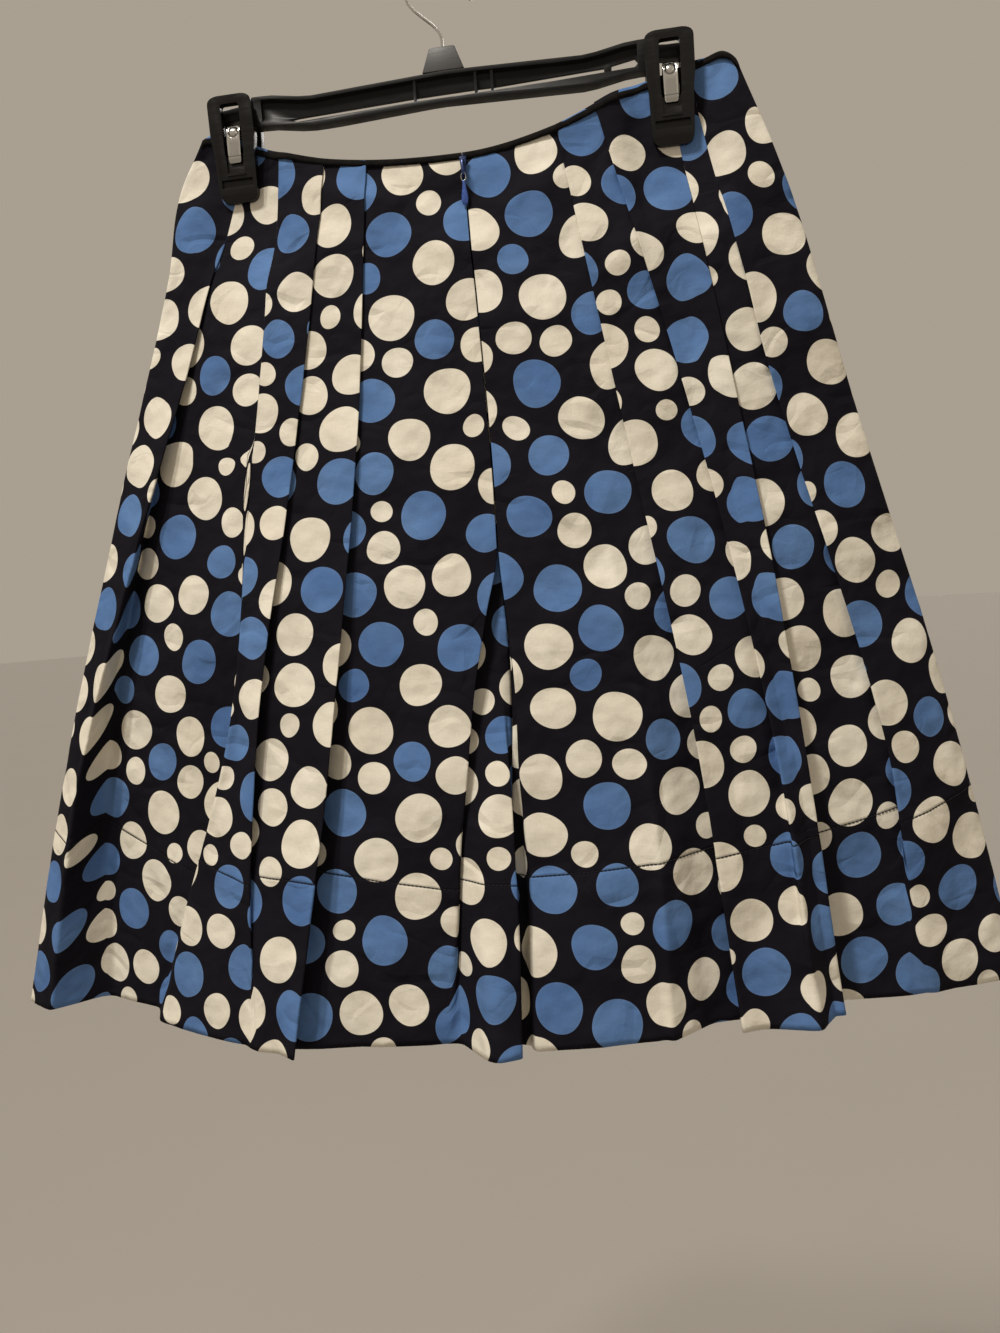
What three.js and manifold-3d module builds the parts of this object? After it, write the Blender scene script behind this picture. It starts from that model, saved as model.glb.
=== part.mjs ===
// A pleated a-line skirt pinched by the waist on a clip hanger.
// Millimetres, +Z up. +X runs along the hanger's bar, and the zip side faces -Y.
// The origin is the point of the hook's wire that rests on a rail.

import * as THREE from 'three';
import { mergeVertices } from 'three/addons/utils/BufferGeometryUtils.js';
import Module from 'manifold-3d';

const wasm = await Module();
wasm.setup();

// ---------------------------------------------------------------- driving dimensions

const CLOTH = 1.4; // the cotton wall
const SEAM_GAP = 0.3; // left open between two pieces at a seam
const HEM_Z = -765; // cut edge of the hem
const TOP_Z = -140; // height of the fold tables' first column
const LEVELS = [TOP_Z, -345, -560, HEM_Z]; // waist, hip, mid length and hem

const PINCH_X = 161; // centre of each clip
const PINCH_HALF = 21; // the cloth is pressed flat this far each side of it
const PINCH_FADE = 21; // and opens again over this distance
const PINCH_Z = -156; // lowest pressed point
const PINCH_DROP = 74; // length over which it opens below the clip
const PINCH_Y = 1.0; // middle of a pressed wall, from the hanger's plane
const FREE_TO_RISE = 0.45; // a fold stands up once the cloth is this free of the clip
const FREE_TO_LAP = 0.85; // and is folded all the way under itself at this

// Fold sizes stay fixed above the first level, and a fold that is not yet open lies flat.
const FLAT_LAP = -3;
const FOLD_RISE_LENGTH = 12;
const FOLD_LAP_LENGTH = 14;
const SHOULDER = 5; // a crest's flat shoulder starts this far past its lap

// Rows of the wall, as shares of the drop from waist edge to hem
const ROWS = [
  0, 0.02, 0.04, 0.06, 0.08, 0.105, 0.135, 0.17, 0.21, 0.26, 0.31, 0.36,
  0.41, 0.455, 0.5, 0.545, 0.6, 0.655, 0.71, 0.77, 0.83, 0.89, 0.945, 1,
];

// The two side edges: where the cloth turns from the zip side to the far side,
// how far back that is, and how round the turn is
const SIDES = [
  { z: -97, left: -188, right: 208, leftY: 0, rightY: 0, leftTurn: 1, rightTurn: 1 },
  { z: -140, left: -211, right: 223, leftY: 0, rightY: 0, leftTurn: 1.5, rightTurn: 1.5 },
  { z: -200, left: -225, right: 242, leftY: -1, rightY: 1, leftTurn: 2.5, rightTurn: 3 },
  { z: -345, left: -275, right: 278, leftY: -3, rightY: 3, leftTurn: 4, rightTurn: 5 },
  { z: -560, left: -344, right: 334, leftY: -7, rightY: 7, leftTurn: 7, rightTurn: 8 },
  { z: HEM_Z, left: -398, right: 379, leftY: -14, rightY: 19, leftTurn: 8, rightTurn: 9 },
];

// The waist edge sags between the clips and stands up at the corners
const WAIST = [
  { x: -188, zipSide: -99, farSide: -100 },
  { x: -144, zipSide: -115, farSide: -117 },
  { x: -87, zipSide: -133, farSide: -136 },
  { x: 11, zipSide: -142, farSide: -146 },
  { x: 79, zipSide: -131, farSide: -136 },
  { x: 140, zipSide: -108, farSide: -112 },
  { x: 177, zipSide: -98.5, farSide: -98.5 },
  { x: 187, zipSide: -95.5, farSide: -94.5 },
  { x: 197, zipSide: -93, farSide: -93.2 },
  { x: 208, zipSide: -96, farSide: -96 },
];

const ZIP_SIDE = -1;
const FAR_SIDE = 1;
const BELLY = {
  [ZIP_SIDE]: { waist: 12, hem: 95 },
  [FAR_SIDE]: { waist: 7, hem: 70 },
};
const BELLY_ROUND = 2.2; // how full the swell stays towards the sides

// One row for each fold, left to right. edge is 1 where the folded edge points right.
// below is where it starts under the waist edge, strip the flat stations before it.
// x, lap (cloth folded under), rise of the crest and sink of the valley are at LEVELS.
const ZIP_LEFT_FOLDS = [
  { name: 'A', edge: 1, below: 50, strip: 1, x: [-163, -236, -318, -368],
    lap: [8, 10, -6, -34], rise: [0, 6, 9, 1], sink: [0, 7, 20, 44] },
  { name: 'A flank', edge: -1, below: 200, strip: 2, x: [-130, -158, -190, -268],
    lap: [-6, -6, 3, -8], rise: [0, 0, 4, -24], sink: [0, 0, 12, 38] },
  { name: 'B', edge: 1, below: 14, strip: 1, x: [-93, -124, -161, -172],
    lap: [9, 11, 12, -7], rise: [2.8, 3.2, 9, 10], sink: [1.8, 1.8, 2, -13] },
  { name: 'C', edge: 1, below: 14, strip: 1, x: [-60, -76, -102, -133],
    lap: [9, 12, 15, 14], rise: [2.8, 3.2, 12, 24], sink: [1.8, 1.8, 2, -8] },
];
const ZIP_RIGHT_FOLDS = [
  { name: 'D flank', edge: 1, below: 120, strip: 2, x: [54, 86, 116, 124],
    lap: [-12, -15, -22, -26], rise: [0, 1, 6, 9], sink: [0, 1, 6, 13] },
  { name: 'D', edge: -1, below: 14, strip: 1, x: [80, 114, 149, 170],
    lap: [9, 11, 13, 8], rise: [2.8, 3.2, 6, 8], sink: [1.8, 1.8, 8, 14] },
  { name: 'E', edge: -1, below: 14, strip: 1, x: [112, 162, 201, 223],
    lap: [9, 10, 5, -7], rise: [2.8, 3, 8, 20], sink: [1.8, 1.8, 2, -18] },
  { name: 'F', edge: 1, below: 62, strip: 3, x: [163, 196, 223, 243],
    lap: [6, 8, 9, 8], rise: [0, 3, 8, 4], sink: [0, 1.8, 4, 23] },
  { name: 'G', edge: -1, below: 76, strip: 1, x: [181, 224, 277, 306],
    lap: [6, 8, 8, -12], rise: [0, 2.8, 2, -8], sink: [0, 1.8, 4, 10] },
];
const FAR_FOLDS = [
  { name: 'far A', edge: 1, below: 56, strip: 2, x: [-160, -226, -298, -332],
    lap: [7, 10, 6, -16], rise: [0, 3, 8, 15], sink: [0, 1.8, 6, 14] },
  { name: 'far B', edge: 1, below: 14, strip: 4, x: [-84, -118, -160, -194],
    lap: [9, 11, 12, 8], rise: [2.8, 3.2, 8, 15], sink: [1.8, 1.8, 4, 7] },
  { name: 'far C', edge: 1, below: 14, strip: 1, x: [-52, -72, -98, -116],
    lap: [9, 12, 14, 12], rise: [2.8, 3.2, 10, 17], sink: [1.8, 1.8, 5, 9] },
  { name: 'far D', edge: -1, below: 14, strip: 3, x: [78, 104, 132, 152],
    lap: [9, 11, 13, 10], rise: [2.8, 3.2, 9, 19], sink: [1.8, 1.8, 5, 7] },
  { name: 'far E', edge: -1, below: 14, strip: 1, x: [112, 146, 188, 224],
    lap: [9, 11, 10, -10], rise: [2.8, 3, 9, 12], sink: [1.8, 1.8, 4, 12] },
  { name: 'far F', edge: -1, below: 70, strip: 4, x: [178, 218, 268, 300],
    lap: [6, 9, 8, -12], rise: [0, 3, 6, 12], sink: [0, 1.8, 5, 10] },
];

// The centre seam and the inverted pleat that opens below the zip. Each x is counted from
// the seam line, and each rise from the swell of the side. The left panel runs from its edge
// back under itself, over the flute and its lip and into the tuck, where the seam is.
const CENTRE_PLEAT = [
  { z: -140, line: 11, edge: [-1.05, 0], under: [-9, -4.4], flute: [-6.4, -4.8],
    lip: [-4.2, -4.8], tuck: [-2.1, -4.8], seam: [-0.4, -4.8], rightUnder: [9, -4.4],
    rightEdge: [1.05, 0] },
  { z: -425, line: 22, edge: [-1.05, 0], under: [-9, -4.4], flute: [-6.4, -4.8],
    lip: [-4.2, -4.8], tuck: [-2.1, -4.8], seam: [-0.4, -4.8], rightUnder: [9, -4.4],
    rightEdge: [1.05, 0] },
  { z: -475, line: 21, edge: [-10, 0], under: [-18, -8], flute: [-5, -9],
    lip: [-2, -9], tuck: [0.5, -9], seam: [3, -9], rightUnder: [14, -8],
    rightEdge: [5, 0] },
  { z: -525, line: 21, edge: [-20, 0], under: [-30, -11], flute: [-9, -10],
    lip: [-2, -9.6], tuck: [1.2, -10.4], seam: [4, -12], rightUnder: [17, -11],
    rightEdge: [8, 0] },
  { z: -580, line: 20, edge: [-26, 0], under: [-35, -9], flute: [-10, -2],
    lip: [3, 1], tuck: [-1, -5], seam: [3, -8], rightUnder: [13, -8],
    rightEdge: [8.5, -1] },
  { z: -645, line: 18, edge: [-32, -1], under: [-37, -8], flute: [-11, 10],
    lip: [7, 11], tuck: [-2, -3], seam: [1, -8], rightUnder: [9, -7],
    rightEdge: [14, -2] },
  { z: -705, line: 16, edge: [-38, -1.5], under: [-37, -8], flute: [-10, 19],
    lip: [9, 15.5], tuck: [1, 0.5], seam: [3.5, -5], rightUnder: [11, -3],
    rightEdge: [16.5, 5] },
  { z: HEM_Z, line: 14, edge: [-48, -3], under: [-34, -4], flute: [-8, 28],
    lip: [10, 20], tuck: [4, 4], seam: [6, -1], rightUnder: [14, 1],
    rightEdge: [18, 12] },
];

const BINDING_DROP = 5; // the waist binding's height on the outside
const BINDING = 0.9; // its thickness
const BINDING_GAP = 0.3;

// Hanger
const WIRE_R = 1.1;
const HOOK_R = 24;
const NECK_BEND_Z = -53;
const CAP = { topZ: -61.5, bottomZ: -78.6, topHalf: 9, bottomHalf: 15.5, halfDepth: 4.6 };
const BAR = { half: 150, topZ: -80, bottomZ: -101.5, halfDepth: 4.5, flange: 2.6, web: 1.2 };
const BAR_RIBS = [-22, 23, 35]; // they cross the slot and tie the rail to the web
const BAR_SLOT = [[-122, -96.6], [-112, -94.4], [20, -94], [137, -90.6], [139.5, -93.5],
  [137, -97.4], [-112, -98.2]];
const BAR_BOSS = { x: 118, z: -93.4, radius: 2.8 };
const CLIP = { width: 34, topZ: -77, bottomZ: -152, windowHalf: 7.2 };
const SPRING = { width: 10.2, thickness: 0.9 };

// Zip slider and its pull
const SLIDER = { topZ: -146, bottomZ: -160.5, halfWidth: 2.6, thickness: 1.4, offCloth: 0.5 };
const BRIDGE = { reach: 4.2, halfWidth: 0.8, thickness: 1.0 }; // it holds the pull
const PULL = { length: 22.5, halfWidth: 2.6, thickness: 1.0, rim: 0.45, eye: 4.3 };
const PULL_AXIS = { z: -158.2, offBody: 2.35 };

const COLOURS = {
  cotton: { color: 0x17171c, roughness: 0.85, metalness: 0 },
  binding: { color: 0x101014, roughness: 0.9, metalness: 0 },
  plastic: { color: 0x1a191b, roughness: 0.42, metalness: 0 },
  cap: { color: 0x3c3b3a, roughness: 0.5, metalness: 0 },
  steel: { color: 0xc9c9c4, roughness: 0.22, metalness: 1 },
  enamel: { color: 0x2b3f86, roughness: 0.35, metalness: 0.3 },
};

// ---------------------------------------------------------------- small helpers

const clamp01 = (t) => Math.min(Math.max(t, 0), 1);
const smooth = (t) => clamp01(t) ** 2 * (3 - 2 * clamp01(t));
const lerp = THREE.MathUtils.lerp;

// A smooth curve through values given at rising or falling places, with no overshoot
// between them, and straight past both ends
function through(places, values, place) {
  const last = places.length - 1;
  const rising = places[last] > places[0] ? 1 : -1;
  let i = 0;
  while (i < last - 1 && (place - places[i + 1]) * rising > 0) i += 1;
  const slope = (a) => (values[a + 1] - values[a]) / (places[a + 1] - places[a]);
  const tangent = (a) => {
    if (a === 0 || a === last) return slope(Math.min(a, last - 1));
    const [before, after] = [slope(a - 1), slope(a)];
    if (before * after <= 0) return 0;
    const limit = 3 * Math.min(Math.abs(before), Math.abs(after));
    return Math.sign(after) * Math.min(Math.abs(before + after) / 2, limit);
  };
  const span = places[i + 1] - places[i];
  const t = (place - places[i]) / span;
  if (t < 0) return values[i] + tangent(i) * (place - places[i]);
  if (t > 1) return values[i + 1] + tangent(i + 1) * (place - places[i + 1]);
  const t2 = t * t;
  const t3 = t2 * t;
  return (2 * t3 - 3 * t2 + 1) * values[i] + (t3 - 2 * t2 + t) * span * tangent(i)
    + (3 * t2 - 2 * t3) * values[i + 1] + (t3 - t2) * span * tangent(i + 1);
}

const atLevel = (values, z) => through(LEVELS, values, z);
const heldAtLevel = (values, z) => through(LEVELS, values, Math.min(z, TOP_Z));

function sideAt(column, z) {
  const zs = SIDES.map((row) => row.z);
  return through(zs, SIDES.map((row) => row[column]), Math.min(z, zs[0]));
}

function waistEdge(side, x) {
  const column = side === ZIP_SIDE ? 'zipSide' : 'farSide';
  const clamped = Math.min(Math.max(x, WAIST[0].x), WAIST[WAIST.length - 1].x);
  return through(WAIST.map((row) => row.x), WAIST.map((row) => row[column]), clamped);
}

// How hard the clips press the cloth, from 0 to 1
function pinch(x, z) {
  const across = 1 - smooth((Math.abs(Math.abs(x) - PINCH_X) - PINCH_HALF) / PINCH_FADE);
  return across * (1 - smooth((PINCH_Z - z) / PINCH_DROP));
}

// Distance of the cloth from the hanger's plane at a place of one side
function depthAt(side, x, z, relief) {
  const left = sideAt('left', z);
  const right = sideAt('right', z);
  const across = clamp01((x - left) / (right - left));
  const share = Math.abs(2 * across - 1);
  const drop = clamp01((TOP_Z - z) / (TOP_Z - HEM_Z));
  const belly = lerp(BELLY[side].waist, BELLY[side].hem, drop ** 1.05);
  const turn = lerp(sideAt('leftTurn', z), sideAt('rightTurn', z), across);
  const middle = lerp(sideAt('leftY', z), sideAt('rightY', z), across);
  const open = turn + belly * (1 - share ** BELLY_ROUND);
  const pressed = pinch(x, z);
  const folded = relief * smooth((1 - pressed) / FREE_TO_RISE);
  return middle + side * (lerp(open, PINCH_Y, pressed) + folded);
}

// ---------------------------------------------------------------- the skirt's sections

// The crest, the valley under it and the crest's shoulder, in the order of the path
function foldStations(fold, z, drop, room) {
  const opening = clamp01((drop - fold.below) / FOLD_RISE_LENGTH);
  const x = atLevel(fold.x, z);
  const free = 1 - pinch(x, z);
  const folding = smooth((drop - fold.below - FOLD_RISE_LENGTH) / FOLD_LAP_LENGTH)
    * smooth((free - FREE_TO_RISE) / (FREE_TO_LAP - FREE_TO_RISE));
  const lap = lerp(FLAT_LAP, heldAtLevel(fold.lap, z), folding);
  const rise = heldAtLevel(fold.rise, z) * opening;
  const reach = Math.min(Math.max(lap, 0) + SHOULDER, 0.4 * room);
  const stations = [
    { x: x - fold.edge * reach, relief: 0.6 * rise },
    { x, relief: rise },
    { x: x - fold.edge * lap, relief: -heldAtLevel(fold.sink, z) * opening },
  ];
  return fold.edge > 0 ? stations : stations.reverse();
}

// Stations of a run of folds between two end stations, with the flat strips filled in
function runOfFolds(folds, z, drop, first, last, lastStrip) {
  const crests = folds.map((fold) => atLevel(fold.x, z));
  const walls = [first.x, ...crests, last.x];
  const stations = [first];
  const fill = (to, count) => {
    const from = stations[stations.length - 1];
    for (let i = 1; i <= count; i += 1) {
      const t = i / (count + 1);
      stations.push({ x: lerp(from.x, to.x, t), relief: lerp(from.relief, to.relief, t) });
    }
  };
  folds.forEach((fold, i) => {
    const neighbour = fold.edge > 0 ? walls[i] : walls[i + 2];
    const found = foldStations(fold, z, drop, Math.abs(crests[i] - neighbour));
    fill(found[0], fold.strip);
    stations.push(...found);
  });
  fill(last, lastStrip);
  stations.push(last);
  return stations;
}

// The cloth's round turn at a side edge, from the seam inwards
function sideTurn(side, edge, z) {
  const x = sideAt(edge, z);
  const y = sideAt(`${edge}Y`, z);
  const turn = sideAt(`${edge}Turn`, z);
  const inward = edge === 'left' ? 1 : -1;
  return [
    { x, y: y + side * SEAM_GAP / 2 },
    { x, y: y + side * Math.max(0.6 * turn, 0.8) },
    { x: x + inward * Math.max(turn, 1.6), relief: 0 },
  ];
}

function centreAt(z) {
  const zs = CENTRE_PLEAT.map((row) => row.z);
  const level = Math.min(z, zs[0]);
  const value = (pick) => through(zs, CENTRE_PLEAT.map(pick), level);
  const line = value((row) => row.line);
  const station = (key) => ({
    x: line + value((row) => row[key][0]),
    relief: value((row) => row[key][1]),
  });
  return { line, station };
}

// The path of a panel's middle line at one row, left to right
function backLeftPath(z, drop) {
  const { station } = centreAt(z);
  const turn = sideTurn(ZIP_SIDE, 'left', z);
  const inner = ['under', 'flute', 'lip', 'tuck', 'seam'].map(station);
  const run = runOfFolds(ZIP_LEFT_FOLDS, z, drop, turn[2], station('edge'), 3);
  return [turn[0], turn[1], ...run, ...inner];
}

function backRightPath(z, drop) {
  const { station } = centreAt(z);
  const turn = sideTurn(ZIP_SIDE, 'right', z);
  const seam = station('seam');
  const start = { x: seam.x + SEAM_GAP + 0.5, relief: seam.relief };
  const run = runOfFolds(ZIP_RIGHT_FOLDS, z, drop, station('rightEdge'), turn[2], 1);
  return [start, station('rightUnder'), ...run, turn[1], turn[0]];
}

function frontPath(z, drop) {
  const left = sideTurn(FAR_SIDE, 'left', z);
  const right = sideTurn(FAR_SIDE, 'right', z);
  const run = runOfFolds(FAR_FOLDS, z, drop, left[2], right[2], 2);
  return [left[0], left[1], ...run, right[1], right[0]];
}

// The two faces of a wall about a middle line, mitred at its folds
function offsetBothWays(path) {
  const half = CLOTH / 2;
  const directions = path.slice(1).map((p, i) => p.clone().sub(path[i]));
  return path.map((p, i) => {
    const before = directions[Math.max(i - 1, 0)];
    const after = directions[Math.min(i, directions.length - 1)];
    const a = before.clone().normalize();
    const b = after.clone().normalize();
    const normalA = new THREE.Vector2(a.y, -a.x);
    const normalB = new THREE.Vector2(b.y, -b.x);
    const sum = normalA.clone().add(normalB);
    const along = sum.length() < 0.02 ? a.clone().sub(b) : sum;
    const mitre = along.normalize();
    const cosine = Math.max(Math.abs(mitre.dot(normalA)), 0.05);
    const turnsLeft = a.cross(b) > 0;
    const sharp = Math.min(half / cosine, 1.25 * half);
    const shorter = Math.min(before.length(), after.length());
    const deep = Math.min(half / cosine, Math.max(0.42 * shorter, sharp));
    return {
      near: p.clone().addScaledVector(mitre, turnsLeft ? sharp : deep),
      far: p.clone().addScaledVector(mitre, turnsLeft ? -deep : -sharp),
    };
  });
}

// Rows of both faces of a panel, each point a Vector3
function panelRows(side, pathAt) {
  const flat = pathAt(TOP_Z, 0).map((station) => waistEdge(side, station.x));
  return ROWS.map((share) => {
    const heights = flat.map((top) => lerp(top, HEM_Z, share));
    const path = heights.map((z, i) => {
      const station = pathAt(z, flat[i] - z)[i];
      const y = station.y ?? depthAt(side, station.x, z, station.relief);
      return new THREE.Vector2(station.x, y);
    });
    const lift = (key) => offsetBothWays(path)
      .map((pair, i) => new THREE.Vector3(pair[key].x, pair[key].y, heights[i]));
    return { near: lift('near'), far: lift('far') };
  });
}

// ---------------------------------------------------------------- meshes

function geometryOf(points, triangles) {
  const geometry = new THREE.BufferGeometry();
  const flat = points.flatMap((p) => [p.x, p.y, p.z]);
  geometry.setAttribute('position', new THREE.Float32BufferAttribute(flat, 3));
  geometry.setIndex(triangles);
  geometry.computeVertexNormals();
  return geometry;
}

// A closed body from a loop of points at each step: skin round the steps, caps at the ends
function sweptLoops(loops) {
  const count = loops[0].length;
  const triangles = [];
  for (let s = 0; s + 1 < loops.length; s += 1) {
    for (let i = 0; i < count; i += 1) {
      const j = (i + 1) % count;
      const [a, b] = [s * count + i, s * count + j];
      triangles.push(a, b, b + count, a, b + count, a + count);
    }
  }
  return { points: loops.flat(), triangles };
}

// A wall: its zip-side face, its far face and the four edges between them
function wallGeometry(rows) {
  const count = rows[0].near.length;
  const points = rows.flatMap((row) => [...row.near, ...row.far]);
  const near = (v, i) => v * 2 * count + i;
  const far = (v, i) => near(v, i) + count;
  const triangles = [];
  const quad = (a, b, c, d) => triangles.push(a, b, c, a, c, d);
  for (let v = 0; v + 1 < rows.length; v += 1) {
    for (let i = 0; i + 1 < count; i += 1) {
      quad(near(v, i), near(v + 1, i), near(v + 1, i + 1), near(v, i + 1));
      quad(far(v, i + 1), far(v + 1, i + 1), far(v + 1, i), far(v, i));
    }
    quad(near(v, 0), far(v, 0), far(v + 1, 0), near(v + 1, 0));
    const end = count - 1;
    quad(far(v, end), near(v, end), near(v + 1, end), far(v + 1, end));
  }
  const hem = rows.length - 1;
  for (let i = 0; i + 1 < count; i += 1) {
    quad(near(0, i), near(0, i + 1), far(0, i + 1), far(0, i));
    quad(far(hem, i), far(hem, i + 1), near(hem, i + 1), near(hem, i));
  }
  return geometryOf(points, triangles);
}

// The binding: an L over the wall's top edge, made from the wall's own points moved out.
// It stops at the zip, short of the allowance that is turned in there.
function bindingGeometry(rows, side, first, last) {
  const outside = side === ZIP_SIDE ? 'near' : 'far';
  const tops = rows[0][outside].slice(first, last);
  const lows = rows[1][outside].slice(first, last);
  const share = BINDING_DROP / tops[0].distanceTo(lows[0]);
  const cover = BINDING_GAP + BINDING;
  const loops = tops.map((top, i) => {
    const low = top.clone().lerp(lows[i], share);
    const along = tops[Math.min(i + 1, tops.length - 1)].clone()
      .sub(tops[Math.max(i - 1, 0)]).setZ(0).normalize();
    const out = new THREE.Vector3(-side * along.y, side * along.x, 0);
    const moved = (p, distance, lift) => p.clone().addScaledVector(out, distance)
      .add(new THREE.Vector3(0, 0, lift));
    return [
      moved(low, BINDING_GAP, 0),
      moved(low, cover, 0),
      moved(top, cover, cover),
      moved(top, -CLOTH, cover),
      moved(top, -CLOTH, BINDING_GAP),
      moved(top, BINDING_GAP, BINDING_GAP),
    ];
  });
  const { points, triangles } = sweptLoops(loops);
  const cap = [0, 1, 2, 0, 2, 5, 5, 2, 3, 5, 3, 4];
  const end = (loops.length - 1) * loops[0].length;
  const faces = [...triangles, ...flipped(cap), ...cap.map((i) => i + end)];
  return geometryOf(points, side === ZIP_SIDE ? flipped(faces) : faces);
}

function flipped(triangles) {
  const turned = [];
  for (let i = 0; i < triangles.length; i += 3) {
    turned.push(triangles[i], triangles[i + 2], triangles[i + 1]);
  }
  return turned;
}

// ---------------------------------------------------------------- solids by cut and join

function solid(geometry) {
  const plain = geometry.index ? geometry.toNonIndexed() : geometry.clone();
  plain.deleteAttribute('normal');
  plain.deleteAttribute('uv');
  const merged = mergeVertices(plain, 1e-4);
  return new wasm.Manifold(new wasm.Mesh({
    numProp: 3,
    vertProperties: new Float32Array(merged.attributes.position.array),
    triVerts: new Uint32Array(merged.index.array),
  }));
}

function fromSolid(body) {
  const mesh = body.getMesh();
  const geometry = new THREE.BufferGeometry();
  geometry.setAttribute('position', new THREE.BufferAttribute(mesh.vertProperties, 3));
  geometry.setIndex(new THREE.BufferAttribute(mesh.triVerts, 1));
  geometry.computeVertexNormals();
  return geometry;
}

function extruded(shape, depth, options = {}) {
  const settings = { depth, bevelEnabled: false, curveSegments: 5, ...options };
  return new THREE.ExtrudeGeometry(shape, settings);
}

// An outline drawn in X and Z, given its thickness from one Y to another
function plateXZ(shape, fromY, toY) {
  const geometry = extruded(shape, toY - fromY);
  geometry.rotateX(Math.PI / 2);
  geometry.translate(0, toY, 0);
  return geometry;
}

// An outline drawn in Y and Z, carried along X
function barYZ(shape, fromX, toX, steps = 1) {
  const geometry = extruded(shape, toX - fromX, { steps });
  geometry.rotateX(Math.PI / 2);
  geometry.rotateZ(Math.PI / 2);
  geometry.translate(fromX, 0, 0);
  return geometry;
}

function outline(points) {
  return new THREE.Shape(points.map(([u, v]) => new THREE.Vector2(u, v)));
}

function roundedBox(halfWidth, top, bottom, radius, centre = 0) {
  const shape = new THREE.Shape();
  const [left, right] = [centre - halfWidth, centre + halfWidth];
  shape.moveTo(left + radius, bottom);
  shape.absarc(right - radius, bottom + radius, radius, -Math.PI / 2, 0, false);
  shape.absarc(right - radius, top - radius, radius, 0, Math.PI / 2, false);
  shape.absarc(left + radius, top - radius, radius, Math.PI / 2, Math.PI, false);
  shape.absarc(left + radius, bottom + radius, radius, Math.PI, 1.5 * Math.PI, false);
  return shape;
}

// A wire or strip of a closed section along a line of points, capped at both ends
function sweptAlong(section, points, steps) {
  const path = new THREE.CatmullRomCurve3(points, false, 'centripetal');
  return new THREE.ExtrudeGeometry(section, { steps, extrudePath: path, bevelEnabled: false });
}

function circle(radius, sides) {
  const shape = new THREE.Shape();
  for (let i = 0; i < sides; i += 1) {
    const angle = (i / sides) * 2 * Math.PI;
    const [u, v] = [radius * Math.cos(angle), radius * Math.sin(angle)];
    if (i === 0) shape.moveTo(u, v);
    else shape.lineTo(u, v);
  }
  return shape;
}

// ---------------------------------------------------------------- hanger

// The bar dips beside its middle and climbs into the clips
function barCamber(x) {
  return 1.2 - 3.4 * smooth(Math.abs(x) / 95) + 4.6 * smooth((Math.abs(x) - 100) / 38);
}

function hangerBar() {
  const { half, topZ, bottomZ, halfDepth: d, flange, web } = BAR;
  const section = outline([
    [-d, topZ], [-d, topZ - flange], [-web, topZ - flange - 1.5], [-web, bottomZ + 7],
    [-d, bottomZ + flange], [-d, bottomZ], [d, bottomZ], [d, bottomZ + flange],
    [web, bottomZ + 7], [web, topZ - flange - 1.5], [d, topZ - flange], [d, topZ],
  ]);
  const boxSection = outline([[-d, topZ], [-d, bottomZ], [d, bottomZ], [d, topZ]]);
  const inner = outline([
    [-d + 0.4, topZ - 1], [-d + 0.4, bottomZ + 1], [d - 0.4, bottomZ + 1], [d - 0.4, topZ - 1],
  ]);
  const fulcrum = outline([[-d, -85], [-d, -93.4], [d, -93.4], [d, -85]]);
  const slot = plateXZ(outline(BAR_SLOT), -d - 1, d + 1);
  const boss = new THREE.CylinderGeometry(BAR_BOSS.radius, BAR_BOSS.radius, 2 * d - 2, 14);
  boss.translate(BAR_BOSS.x, 0, BAR_BOSS.z);
  let body = solid(barYZ(section, -half + 10, half - 10, 28)).subtract(solid(slot));
  for (const x of BAR_RIBS) body = body.add(solid(barYZ(inner, x - 1, x + 1)));
  body = body.add(solid(boss));
  for (const sign of [-1, 1]) {
    const ends = [sign * (half - 11), sign * (half + 1)].sort((a, b) => a - b);
    body = body.add(solid(barYZ(boxSection, ends[0], ends[1])));
    const pin = [sign * half, sign * (PINCH_X + 14)].sort((a, b) => a - b);
    body = body.add(solid(barYZ(fulcrum, pin[0], pin[1])));
  }
  const warped = body.warp((p) => {
    p[2] += barCamber(p[0]) * (Math.abs(p[0]) < half + 1.5 ? 1 : 0);
  });
  return fromSolid(warped);
}

function sizeCap() {
  const { topZ, bottomZ, topHalf, bottomHalf, halfDepth: d } = CAP;
  const face = outline([
    [-bottomHalf, bottomZ], [bottomHalf, bottomZ], [topHalf + 0.6, topZ + 0.8 - 1.6],
    [topHalf - 0.8, topZ], [-topHalf + 0.8, topZ], [-topHalf - 0.6, topZ + 0.8 - 1.6],
  ]);
  const profile = outline([[-d, bottomZ], [d, bottomZ], [d - 1, topZ], [-d + 1, topZ]]);
  const bore = new THREE.CylinderGeometry(WIRE_R + 0.3, WIRE_R + 0.3, 20, 16);
  bore.rotateX(Math.PI / 2);
  bore.translate(0, 0, topZ);
  const body = solid(plateXZ(face, -d, d))
    .intersect(solid(barYZ(profile, -bottomHalf - 1, bottomHalf + 1)))
    .subtract(solid(bore));
  return fromSolid(body);
}

// Up from the cap, bent aside, then over the rail in a half circle to a short tail
function hookWire() {
  const centre = WIRE_R - HOOK_R;
  const points = [
    new THREE.Vector3(0, 0, CAP.topZ - 8),
    new THREE.Vector3(0, 0, CAP.topZ),
    new THREE.Vector3(-0.4, 0, NECK_BEND_Z),
    new THREE.Vector3(-4.5, 0, -46),
    new THREE.Vector3(-13.5, 0, -37.5),
    new THREE.Vector3(-20.5, 0, -30.5),
  ];
  for (let degrees = 185; degrees >= -20; degrees -= 20.5) {
    const angle = THREE.MathUtils.degToRad(degrees);
    const [c, s] = [Math.cos(angle), Math.sin(angle)];
    points.push(new THREE.Vector3(HOOK_R * c, 0, centre + HOOK_R * s));
  }
  return sweptAlong(circle(WIRE_R, 10), points, 46);
}

// ---------------------------------------------------------------- clips

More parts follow.
